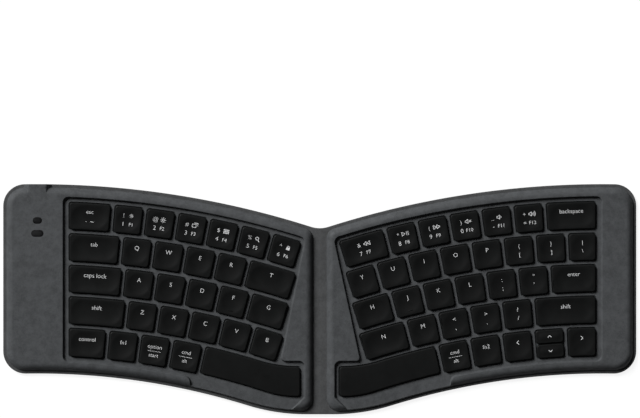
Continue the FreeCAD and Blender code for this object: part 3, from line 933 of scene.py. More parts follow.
@dataclass
class Skin:
    """The points and faces of one piece, gathered before its mesh is made."""

    side: Side | None = None
    points: list[tuple[float, float, float]] = field(default_factory=list)
    faces: list[list[int]] = field(default_factory=list)
    finishes: list[int] = field(default_factory=list)

    def place(self, plan: np.ndarray, z: np.ndarray | float) -> list[int]:
        """Adds points.

        Args:
            plan: Their places in half coordinates, or in world ones where the skin has no side.
            z: Their heights, or one height for all.

        Returns:
            Their numbers.
        """
        flip = self.side.value if self.side else 1
        heights = np.broadcast_to(z, (len(plan),))
        first = len(self.points)
        self.points += [(flip * x * MM, y * MM, h * MM) for (x, y), h in zip(plan, heights)]
        return list(range(first, len(self.points)))

    def stand(self, section: Sequence[Point], y: float) -> list[int]:
        """Adds upright points at one depth.

        Args:
            section: The X and the height of each.
            y: Their depth.

        Returns:
            Their numbers.
        """
        first = len(self.points)
        self.points += [(self.side.value * x * MM, y * MM, z * MM) for x, z in section]
        return list(range(first, len(self.points)))

    def face(self, corners: Sequence[int], finish: int = 0) -> None:
        """Adds a face."""
        self.faces.append(list(corners))
        self.finishes.append(finish)

    def band(self, low: Sequence[int], high: Sequence[int], finish: int = 0) -> None:
        """Adds a band of faces between two rings with matching points.

        Args:
            low: The first ring's point numbers.
            high: The second ring's.
            finish: The number of its finish.
        """
        for k in range(len(low)):
            after = (k + 1) % len(low)
            self.face([low[k], low[after], high[after], high[k]], finish)

    def tower(self, rings: Sequence[Ring], heights: Sequence[float | np.ndarray], finish: int = 0) -> None:
        """Adds a closed body of rings one above the other, shut with a flat face at each end.

        Args:
            rings: The rings, from one end to the other, with matching points.
            heights: The height of each.
            finish: The number of its finish.
        """
        placed = [self.place(ring, z) for ring, z in zip(rings, heights)]
        for low, high in zip(placed, placed[1:]):
            self.band(low, high, finish)
        self.face(placed[0], finish)
        self.face(placed[-1], finish)

    def piece(self, name: str, finishes: Sequence[Finish], crease: float = 32.0,
              even: bool = False) -> bpy.types.Object:
        """Makes the piece.

        Args:
            name: The piece's name.
            finishes: Its finishes, in the order of the faces' finish numbers.
            crease: The angle in degrees from which an edge stays sharp.
            even: Whether large flat faces hold the shading flat.

        Returns:
            The new object, in the scene.
        """
        mesh = bpy.data.meshes.new(name)
        mesh.from_pydata(self.points, [], self.faces)
        mesh.polygons.foreach_set("material_index", self.finishes)
        work = bmesh.new()
        work.from_mesh(mesh)
        bmesh.ops.remove_doubles(work, verts=work.verts, dist=2e-7)
        bmesh.ops.dissolve_degenerate(work, dist=1e-7, edges=work.edges)
        bmesh.ops.delete(work, geom=[v for v in work.verts if not v.link_faces], context="VERTS")
        bmesh.ops.recalc_face_normals(work, faces=work.faces)
        work.to_mesh(mesh)
        work.free()
        mesh.polygons.foreach_set("use_smooth", [True] * len(mesh.polygons))
        mesh.set_sharp_from_angle(angle=math.radians(crease))
        for finish in finishes:
            mesh.materials.append(finish.material)
        piece = bpy.data.objects.new(name, mesh)
        bpy.context.scene.collection.objects.link(piece)
        if even:
            modifier = piece.modifiers.new("Even shading", "WEIGHTED_NORMAL")
            modifier.keep_sharp = True
        return piece


@dataclass
class Net:
    """Triangles between rings: its points and its triangles."""

    points: np.ndarray
    triangles: np.ndarray

    @classmethod
    def between(cls, rings: Sequence[Ring], loose: np.ndarray | None = None,
                faces: Sequence[Ring] = (), edges: np.ndarray | None = None) -> Net:
        """Joins rings, points and drawn faces into one net of triangles.

        Args:
            rings: Closed outlines whose lines the net keeps.
            loose: Points that it takes in.
            faces: Small drawn faces that it keeps apart.
            edges: Single lines that it keeps, as an array of point pairs.

        Returns:
            The net, as wide as its outermost points.
        """
        places: list[np.ndarray] = []
        lines: list[tuple[int, int]] = []
        count = 0
        for ring in (*rings, *faces):
            places.append(ring)
            lines += [(count + k, count + (k + 1) % len(ring)) for k in range(len(ring))]
            count += len(ring)
        if edges is not None:
            places.append(edges.reshape(-1, 2))
            lines += [(count + 2 * k, count + 2 * k + 1) for k in range(len(edges))]
            count += 2 * len(edges)
        if loose is not None:
            places.append(loose)
        made = delaunay_2d_cdt([Vector(p) for p in np.concatenate(places)], lines, [], 0, 1e-5)
        return cls(np.array([v[:] for v in made[0]]), np.array(made[2]))

    @property
    def middles(self) -> np.ndarray:
        """The middle of each triangle."""
        return self.points[self.triangles].mean(axis=1)

    def kept(self, keep: np.ndarray) -> Net:
        """The net with only some of its triangles."""
        return Net(self.points, self.triangles[keep])

    def within(self, faces: Sequence[Ring]) -> np.ndarray:
        """Finds the triangles that lie in any of some small drawn faces.

        Args:
            faces: The faces.

        Returns:
            True or false for each triangle.
        """
        middles = self.middles
        found = np.zeros(len(middles), bool)
        for face in faces:
            close = np.flatnonzero(near_ring(middles, face, 0.0) & ~found)
            if len(close):
                found[close] = is_inside(middles[close], face)
        return found

    def rim(self) -> np.ndarray:
        """The lines with a triangle on one side only.

        Returns:
            A pair of point numbers for each line, in the order of its triangle.
        """
        runs = np.concatenate([self.triangles[:, [i, (i + 1) % 3]] for i in range(3)])
        _, index, counts = np.unique(np.sort(runs, axis=1), axis=0, return_index=True, return_counts=True)
        return runs[index[counts == 1]]

    def loop(self, start: int) -> list[int]:
        """The border that a point lies on.

        Args:
            start: The point's number.

        Returns:
            The border's point numbers in order.
        """
        following = dict(self.rim().tolist())
        found = [int(start)]
        while following[found[-1]] != start:
            found.append(following[found[-1]])
        return found


# Node tools


def linear(colour: Colour, factor: float = 1.0) -> tuple[float, float, float, float]:
    """A colour written in 0 to 255 as the eye sees it, times a factor, in the renderer's own numbers."""
    parts = [c * factor / 255 for c in colour]
    return (*(p / 12.92 if p <= 0.04045 else ((p + 0.055) / 1.055) ** 2.4 for p in parts), 1.0)


@dataclass
class Graph:
    """Shader nodes with short ways to add and join them."""

    tree: bpy.types.NodeTree

    def node(self, kind: str, links: dict[str, bpy.types.NodeSocket] | None = None,
             **settings: object) -> bpy.types.Node:
        """Adds a node.

        Args:
            kind: The node's type, such as ShaderNodeMix.
            links: Sockets to join to its inputs, by the inputs' names.
            settings: Values of its inputs by name with _ for a space, or settings of the node.

        Returns:
            The new node.
        """
        node = self.tree.nodes.new(kind)
        for name, value in settings.items():
            if hasattr(node, name):
                setattr(node, name, value)
        for name, value in settings.items():
            spaced = name.replace("_", " ")
            if not hasattr(node, name):
                node.inputs[spaced].default_value = value
        for name, socket in (links or {}).items():
            self.tree.links.new(socket, node.inputs[name])
        return node

    def feed(self, place: bpy.types.NodeSocket, value: object) -> None:
        """Joins a socket to an input, or gives the input a fixed value.

        Args:
            place: The input.
            value: The socket or the value.
        """
        if isinstance(value, bpy.types.NodeSocket):
            self.tree.links.new(value, place)
        else:
            place.default_value = value

    def math(self, operation: str, first: object, second: object = 0.0, third: object = 0.0,
             clamp: bool = False) -> bpy.types.NodeSocket:
        """Works out something from sockets or numbers.

        Args:
            operation: The math node's operation.
            first: Its first value.
            second: Its second value.
            third: Its third value.
            clamp: Whether the result stays between 0 and 1.

        Returns:
            The result's socket.
        """
        node = self.tree.nodes.new("ShaderNodeMath")
        node.operation = operation
        node.use_clamp = clamp
        for place, value in zip(node.inputs, (first, second, third)):
            self.feed(place, value)
        return node.outputs[0]

    def spread(self, value: bpy.types.NodeSocket, low: float, high: float,
               to_low: float = 0.0, to_high: float = 1.0) -> bpy.types.NodeSocket:
        """Maps a value from one range to another, clamped.

        Args:
            value: The socket to map.
            low: Where its range starts.
            high: Where its range ends.
            to_low: The result at low.
            to_high: The result at high.

        Returns:
            The result's socket.
        """
        node = self.tree.nodes.new("ShaderNodeMapRange")
        node.clamp = True
        self.tree.links.new(value, node.inputs["Value"])
        for name, number in zip(("From Min", "From Max", "To Min", "To Max"), (low, high, to_low, to_high)):
            node.inputs[name].default_value = number
        return node.outputs["Result"]

    def blend(self, share: bpy.types.NodeSocket, first: object, second: object) -> bpy.types.NodeSocket:
        """Mixes two colours.

        Args:
            share: How much of the second.
            first: A socket or a fixed colour.
            second: The same.

        Returns:
            The mix's socket.
        """
        node = self.tree.nodes.new("ShaderNodeMix")
        node.data_type = "RGBA"
        self.tree.links.new(share, node.inputs[0])
        for place, value in ((node.inputs[6], first), (node.inputs[7], second)):
            self.feed(place, value)
        return node.outputs[2]


class Effect(Enum):
    """A surface effect that several finishes share, each a node group that is made once."""

    GRAIN = "Soft touch grain"
    SMUDGE = "Handling smudges"
    # Edge wear, which the finishes also use to lighten edges as a painted sheen.
    EDGE = "Edge polish"
    SPARK = "Spark texture"

    def group(self) -> bpy.types.NodeTree:
        """The effect's node group, made at its first use."""
        found = bpy.data.node_groups.get(self.value)
        return found or EFFECT_MAKERS[self](self.value)

    def placed(self, graph: Graph, **values: float) -> bpy.types.Node:
        """Puts the effect in a material.

        Args:
            graph: The material's graph.
            values: Values of its inputs by name with _ for a space.

        Returns:
            The effect's node.
        """
        node = graph.tree.nodes.new("ShaderNodeGroup")
        node.node_tree = self.group()
        for name, value in values.items():
            node.inputs[name.replace("_", " ")].default_value = value
        return node


def effect_tree(name: str, inputs: dict[str, float],
                outputs: Sequence[str]) -> tuple[Graph, bpy.types.Node, bpy.types.Node]:
    """Starts an effect's node group.

    Args:
        name: Its name.
        inputs: Its number inputs and their usual values.
        outputs: Its number outputs.

    Returns:
        Its graph, its input node and its output node.
    """
    tree = bpy.data.node_groups.new(name, "ShaderNodeTree")
    for title, value in inputs.items():
        socket = tree.interface.new_socket(name=title, in_out="INPUT", socket_type="NodeSocketFloat")
        socket.default_value = value
    for title in outputs:
        tree.interface.new_socket(name=title, in_out="OUTPUT", socket_type="NodeSocketFloat")
    graph = Graph(tree)
    return graph, tree.nodes.new("NodeGroupInput"), tree.nodes.new("NodeGroupOutput")


def make_grain(name: str) -> bpy.types.NodeTree:
    """Fine leather-like pebbles with a cloudy mottle, as soft-touch film has.

    Args:
        name: The group's name.

    Returns:
        The group, whose Scale counts pebbles per metre.
    """
    graph, given, out = effect_tree(name, {"Scale": 1500.0, "Cloud": 160.0}, ("Height", "Mottle"))
    place = graph.node("ShaderNodeTexCoord").outputs["Object"]
    warp = graph.node("ShaderNodeTexNoise", {"Vector": place, "Scale": given.outputs["Scale"]}, Detail=2.0)
    shifted = graph.node("ShaderNodeVectorMath", {"Vector": warp.outputs["Color"]}, operation="SCALE",
                         Scale=0.0004)
    moved = graph.node("ShaderNodeVectorMath", operation="ADD")
    graph.tree.links.new(place, moved.inputs[0])
    graph.tree.links.new(shifted.outputs[0], moved.inputs[1])
    cells = graph.node("ShaderNodeTexVoronoi", {"Vector": moved.outputs[0], "Scale": given.outputs["Scale"]},
                       feature="SMOOTH_F1", Smoothness=0.7)
    pebbles = graph.spread(cells.outputs["Distance"], 0.1, 0.75, 1.0, 0.0)
    cloud = graph.node("ShaderNodeTexNoise", {"Vector": place, "Scale": given.outputs["Cloud"]},
                       Detail=6.0, Roughness=0.85)
    mottle = graph.spread(cloud.outputs["Fac"], 0.4, 0.6)
    fine = graph.math("MULTIPLY_ADD", warp.outputs["Fac"], 0.35, graph.math("MULTIPLY", pebbles, 0.65))
    graph.tree.links.new(fine, out.inputs["Height"])
    graph.tree.links.new(mottle, out.inputs["Mottle"])
    return graph.tree


def make_smudge(name: str) -> bpy.types.NodeTree:
    """Broad uneven patches where hands have rested.

    Args:
        name: The group's name.

    Returns:
        The group, whose Scale counts patches per metre.
    """
    graph, given, out = effect_tree(name, {"Scale": 40.0}, ("Mask",))
    place = graph.node("ShaderNodeTexCoord").outputs["Object"]
    broad = graph.node("ShaderNodeTexNoise", {"Vector": place, "Scale": given.outputs["Scale"]},
                       Detail=4.0, Roughness=0.6, Distortion=0.4)
    graph.tree.links.new(graph.spread(broad.outputs["Fac"], 0.38, 0.66), out.inputs["Mask"])
    return graph.tree


def make_edge(name: str) -> bpy.types.NodeTree:
    """A mask of outward edges, broken up by noise, where use has worn them; the finishes also lighten their colour
    with it as a painted sheen.

    Args:
        name: The group's name.

    Returns:
        The group, whose Reach sets how soon an edge counts.
    """
    graph, given, out = effect_tree(name, {"Reach": 0.03, "Scale": 600.0}, ("Mask",))
    sharp = graph.node("ShaderNodeNewGeometry").outputs["Pointiness"]
    place = graph.node("ShaderNodeTexCoord").outputs["Object"]
    noise = graph.node("ShaderNodeTexNoise", {"Vector": place, "Scale": given.outputs["Scale"]}, Detail=3.0)
    raised = graph.math("SUBTRACT", sharp, 0.5)
    share = graph.math("DIVIDE", raised, given.outputs["Reach"], clamp=True)
    broken = graph.math("MULTIPLY", share, graph.spread(noise.outputs["Fac"], 0.3, 0.6), clamp=True)
    graph.tree.links.new(broken, out.inputs["Mask"])
    return graph.tree


def make_spark(name: str) -> bpy.types.NodeTree:
    """The fine even roughness that a spark-eroded mould gives to plastic.

    Args:
        name: The group's name.

    Returns:
        The group, whose Scale counts pits per metre.
    """
    graph, given, out = effect_tree(name, {"Scale": 5000.0}, ("Height", "Tone"))
    place = graph.node("ShaderNodeTexCoord").outputs["Object"]
    fine = graph.node("ShaderNodeTexNoise", {"Vector": place, "Scale": given.outputs["Scale"]},
                      Detail=3.0, Roughness=0.7)
    tone = graph.node("ShaderNodeTexNoise", {"Vector": place}, Scale=260.0, Detail=4.0, Roughness=0.6)
    graph.tree.links.new(fine.outputs["Fac"], out.inputs["Height"])
    graph.tree.links.new(graph.spread(tone.outputs["Fac"], 0.3, 0.7), out.inputs["Tone"])
    return graph.tree


EFFECT_MAKERS: dict[Effect, Callable[[str], bpy.types.NodeTree]] = {
    Effect.GRAIN: make_grain,
    Effect.SMUDGE: make_smudge,
    Effect.EDGE: make_edge,
    Effect.SPARK: make_spark,
}


@dataclass
class Surface:
    """A material in the making: its nodes, its Principled shader and itself."""

    graph: Graph
    shader: bpy.types.Node
    material: bpy.types.Material

    @classmethod
    def named(cls, name: str, roughness: float, **settings: float) -> Surface:
        """Starts a material.

        Args:
            name: Its name.
            roughness: The shader's roughness, which a link may override.
            settings: Other values of the shader, by input name with _ for a space.

        Returns:
            The surface.
        """
        material = bpy.data.materials.new(name)
        material.use_nodes = True
        shader = material.node_tree.nodes["Principled BSDF"]
        shader.inputs["Roughness"].default_value = roughness
        for key, value in settings.items():
            shader.inputs[key.replace("_", " ")].default_value = value
        return cls(Graph(material.node_tree), shader, material)

    def colour(self, share: object, first: object, second: object) -> bpy.types.NodeSocket:
        """Gives the surface a mix of two colours.

        Args:
            share: How much of the second.
            first: A socket or a fixed colour.
            second: The same.

        Returns:
            The mix's socket.
        """
        mix = self.graph.blend(share, first, second)
        self.graph.feed(self.shader.inputs["Base Color"], mix)
        return mix

    def gloss(self, mask: bpy.types.NodeSocket, gain: float, base: object) -> bpy.types.NodeSocket:
        """Varies the roughness with a mask.

        Args:
            mask: The mask.
            gain: What a full mask adds.
            base: The roughness without it, a number or a socket.

        Returns:
            The roughness's socket.
        """
        rough = self.graph.math("MULTIPLY_ADD", mask, gain, base)
        self.graph.feed(self.shader.inputs["Roughness"], rough)
        return rough

    def relief(self, height: bpy.types.NodeSocket, strength: float, depth: float) -> None:
        """Roughens the surface by a height, as deep as depth in metres."""
        bump = self.graph.node("ShaderNodeBump", {"Height": height}, Strength=strength, Distance=depth)
        self.graph.feed(self.shader.inputs["Normal"], bump.outputs["Normal"])


# Finishes


@dataclass(frozen=True)
class SoftTouch:
    """The grey rubbery film of the housings and the cover, with a leather-like grain, lighter pebble tops, and worn
    edges lightened as a painted sheen.
    """

    name: str
    colour: Colour = (80, 82, 84)
    # Lighter colour for the grain's pebble tops and for the painted sheen on worn edges.
    light: Colour = (91, 93, 95)
    roughness: float = 0.56
    grain_scale: float = 1700.0
    grain_depth: float = 0.00003
    shade: float = 0.8
    specular: float = 0.12
    smudge_scale: float = 32.0
    edge_reach: float = 0.05
    lightening: float = 0.35

    def material(self) -> bpy.types.Material:
        """Makes the finish.

        Returns:
            The new material.
        """
        surface = Surface.named(self.name, self.roughness, Specular_IOR_Level=self.specular)
        grain = Effect.GRAIN.placed(surface.graph, Scale=self.grain_scale).outputs
        smudge = Effect.SMUDGE.placed(surface.graph, Scale=self.smudge_scale).outputs["Mask"]
        edge = Effect.EDGE.placed(surface.graph, Reach=self.edge_reach).outputs["Mask"]
        film = surface.colour(grain["Mottle"], linear(self.colour, self.shade), linear(self.colour))
        # Lightens the grain's pebble tops, and the worn edges as a painted sheen.
        for mask in (grain["Height"], edge):
            share = surface.graph.math("MULTIPLY", mask, self.lightening)
            film = surface.colour(share, film, linear(self.light))
        handled = surface.gloss(smudge, -0.09, self.roughness + 0.05)
        surface.gloss(edge, -0.12, handled)
        surface.relief(grain["Height"], 0.6, self.grain_depth)
        return surface.material


@dataclass(frozen=True)
class KeyPlastic:
    """The black plastic of the keycaps: spark texture, glossier handled patches, and edges lightened in colour as a
    painted sheen where fingers rub.
    """

    name: str = "Keycap plastic"
    colour: Colour = (17, 18, 18)
    roughness: float = 0.52
    shade: float = 0.9
    polish: float = 1.5
    texture: float = 4200.0
    depth: float = 0.00002
    smudge_scale: float = 110.0
    edge_reach: float = 0.06
    rubbed: float = 0.5

    def material(self) -> bpy.types.Material:
        """Makes the finish.

        Returns:
            The new material.
        """
        surface = Surface.named(self.name, self.roughness, Specular_IOR_Level=0.15)
        spark = Effect.SPARK.placed(surface.graph, Scale=self.texture).outputs
        smudge = Effect.SMUDGE.placed(surface.graph, Scale=self.smudge_scale).outputs["Mask"]
        edge = Effect.EDGE.placed(surface.graph, Reach=self.edge_reach).outputs["Mask"]
        plain = surface.colour(spark["Tone"], linear(self.colour, self.shade), linear(self.colour))
        # Worn edges lightened in colour as a painted sheen where fingers rub.
        share = surface.graph.math("MULTIPLY", edge, self.rubbed)
        surface.colour(share, plain, linear(self.colour, self.polish))
        surface.gloss(smudge, -0.1, self.roughness + 0.05)
        surface.relief(spark["Height"], 0.35, self.depth)
        return surface.material


@dataclass(frozen=True)
class LegendInk:
    """The pale ink of the key legends."""

    name: str = "Legend ink"
    colour: Colour = (238, 239, 240)
    roughness: float = 0.55
    shade: float = 0.9
    texture: float = 4200.0

    def material(self) -> bpy.types.Material:
        """Makes the finish.

        Returns:
            The new material.
        """
        surface = Surface.named(self.name, self.roughness, Specular_IOR_Level=0.3)
        tone = Effect.SPARK.placed(surface.graph, Scale=self.texture).outputs["Tone"]
        surface.colour(tone, linear(self.colour, self.shade), linear(self.colour))
        surface.gloss(tone, 0.1, self.roughness - 0.05)
        return surface.material


@dataclass(frozen=True)
class PlainPlastic:
    """A moulded or printed part: one colour with a fine texture and uneven gloss."""

    name: str
    colour: Colour
    roughness: float = 0.45
    texture: float = 1800.0
    depth: float = 0.00001
    shade: float = 0.86
    smudge_scale: float = 60.0

    def material(self) -> bpy.types.Material:
        """Makes the finish.

        Returns:
            The new material.
        """
        surface = Surface.named(self.name, self.roughness)
        spark = Effect.SPARK.placed(surface.graph, Scale=self.texture).outputs
        smudge = Effect.SMUDGE.placed(surface.graph, Scale=self.smudge_scale).outputs["Mask"]
        surface.colour(spark["Tone"], linear(self.colour, self.shade), linear(self.colour))
        surface.gloss(smudge, -0.12, self.roughness + 0.06)
        surface.relief(spark["Height"], 0.3, self.depth)
        return surface.material


@dataclass(frozen=True)
class BrushedSteel:
    """Rolled or drawn sheet metal, with fine lines along one direction."""

    name: str
    colour: Colour
    roughness: float = 0.3
    stretch: tuple[float, float, float] = (60.0, 2500.0, 2500.0)
    shade: float = 0.82
    depth: float = 0.000008
    smudge_scale: float = 90.0

    def material(self) -> bpy.types.Material:
        """Makes the finish.

        Returns:
            The new material.
        """
        surface = Surface.named(self.name, self.roughness, Metallic=1.0)
        place = surface.graph.node("ShaderNodeTexCoord").outputs["Object"]
        drawn = surface.graph.node("ShaderNodeMapping", {"Vector": place}, Scale=self.stretch).outputs[0]
        noise = surface.graph.node("ShaderNodeTexNoise", {"Vector": drawn}, Scale=1.0, Detail=3.0)
        lines = noise.outputs["Fac"]
        smudge = Effect.SMUDGE.placed(surface.graph, Scale=self.smudge_scale).outputs["Mask"]
        surface.colour(lines, linear(self.colour, self.shade), linear(self.colour))
        surface.gloss(smudge, 0.15, self.roughness - 0.04)
        surface.relief(lines, 0.25, self.depth)
        return surface.material


@dataclass(frozen=True)
class SmokedWindow:
    """The glossy black of the indicator windows, under a clear coat."""

    name: str = "Window black"
    colour: Colour = (12, 12, 13)
    light: Colour = (20, 20, 22)
    roughness: float = 0.3

    def material(self) -> bpy.types.Material:
        """Makes the finish.

        Returns:
            The new material.
        """
        surface = Surface.named(self.name, self.roughness, Coat_Weight=0.25, Coat_Roughness=0.2)
        smudge = Effect.SMUDGE.placed(surface.graph, Scale=260.0).outputs["Mask"]
        surface.colour(smudge, linear(self.colour), linear(self.light))
        surface.gloss(smudge, 0.12, self.roughness - 0.04)
        return surface.material


@dataclass(frozen=True)
class Foil:
    """The silver pouch of the battery, with soft creases."""

    name: str = "Battery foil"
    colour: Colour = (190, 192, 194)
    dark: Colour = (160, 162, 164)
    roughness: float = 0.35
    depth: float = 0.0001

    def material(self) -> bpy.types.Material:
        """Makes the finish.

        Returns:
            The new material.
        """
        surface = Surface.named(self.name, self.roughness, Metallic=1.0)
        place = surface.graph.node("ShaderNodeTexCoord").outputs["Object"]
        noise = surface.graph.node("ShaderNodeTexNoise", {"Vector": place}, Scale=220.0, Detail=5.0,
                                   Distortion=1.2)
        folds = noise.outputs["Fac"]
        surface.colour(folds, linear(self.dark), linear(self.colour))
        surface.gloss(folds, 0.2, self.roughness - 0.1)
        surface.relief(folds, 0.5, self.depth)
        return surface.material


class Finish(Enum):
    """Every finish of the keyboard, each a material that is made once."""

    HOUSING = SoftTouch("Housing soft touch")
    # Near-black finish for the walls of the openings in the housings: painted shade, so the gaps round the keycaps
    # read dark.
    RAW = PlainPlastic("Uncoated plastic", (13, 14, 14), 0.6)
    COVER = SoftTouch("Cover soft touch", (79, 80, 81), (90, 91, 92), 0.6, 1500.0, 0.00004)
    EDGE = SoftTouch("Cover cut edge", (40, 41, 42), (48, 49, 50), 0.62, 1500.0, 0.00003)
    KEYCAP = KeyPlastic()
    INK = LegendInk()
    WINDOW = SmokedWindow()
    LENS = PlainPlastic("Lamp lens", (21, 22, 23), 0.34, 1200.0)
    TRAY = PlainPlastic("Tray plastic", (34, 35, 36), 0.5)
    LINK = PlainPlastic("Link plastic", (196, 196, 190), 0.38)
    # The plate's colour is darkened to near black as painted shade, so it reads dark through the gaps round the
    # keycaps.
    PLATE = BrushedSteel("Plate steel", (26, 27, 29), 0.42)
    SHELL = BrushedSteel("Socket steel", (186, 188, 190), 0.26, (2200.0, 120.0, 2200.0))
    SILICONE = PlainPlastic("Dome silicone", (62, 66, 68), 0.55, 900.0)
    FOOT = PlainPlastic("Foot rubber", (30, 31, 32), 0.78, 2400.0, 0.00004)
    BOARD = PlainPlastic("Board lacquer", (22, 64, 44), 0.32, 700.0)
    FOIL = Foil()
    MAGNET = BrushedSteel("Magnet nickel", (196, 194, 188), 0.2)
    FLEX = PlainPlastic("Flex film", (132, 74, 30), 0.3, 500.0)
    TONGUE = PlainPlastic("Socket tongue", (18, 18, 19), 0.42)
    GOLD = BrushedSteel("Contact gold", (214, 176, 96), 0.24, (2000.0, 200.0, 2000.0))

    @property
    def material(self) -> bpy.types.Material:
        """The finish's material, made at its first use."""
        return bpy.data.materials.get(self.value.name) or self.value.material()


# Housings


@dataclass
class Underside:
    """A housing's underside: a net whose triangles lie at a few levels, with upright steps between them."""

    skin: Skin
    net: Net
    levels: np.ndarray
    numbers: dict[tuple[int, float], int] = field(default_factory=dict)
    owners: dict[tuple[int, int], list[float]] = field(default_factory=dict)

    def number(self, point: int, z: float) -> int:
        """The skin's point at a net point and a height.

        Args:
            point: The net point.
            z: The height.

        Returns:
            The point's number.
        """
        if (point, z) not in self.numbers:
            self.numbers[(point, z)] = self.skin.place(self.net.points[[point]], z)[0]
        return self.numbers[(point, z)]

    def add_floors(self) -> None:
        """Adds the net's triangles, each at its own level, and notes the levels that meet in each line."""
        for triangle, z in zip(self.net.triangles.tolist(), self.levels.tolist()):
            self.skin.face([self.number(point, z) for point in reversed(triangle)])
            for k in range(3):
                run = tuple(sorted((triangle[k], triangle[(k + 1) % 3])))
                self.owners.setdefault(run, []).append(z)

    def add_steps(self) -> None:
        """Adds an upright face at each line in which two levels meet."""
        known: dict[int, list[float]] = {}
        for point, z in sorted(self.numbers):
            known.setdefault(point, []).append(z)
        for (first, second), levels in self.owners.items():
            if len(levels) == 2 and levels[0] != levels[1]:
                low, high = sorted(levels)
                up = [self.number(second, z) for z in known[second] if low <= z <= high]
                down = [self.number(first, z) for z in reversed(known[first]) if low <= z <= high]
                self.skin.face(up + down)


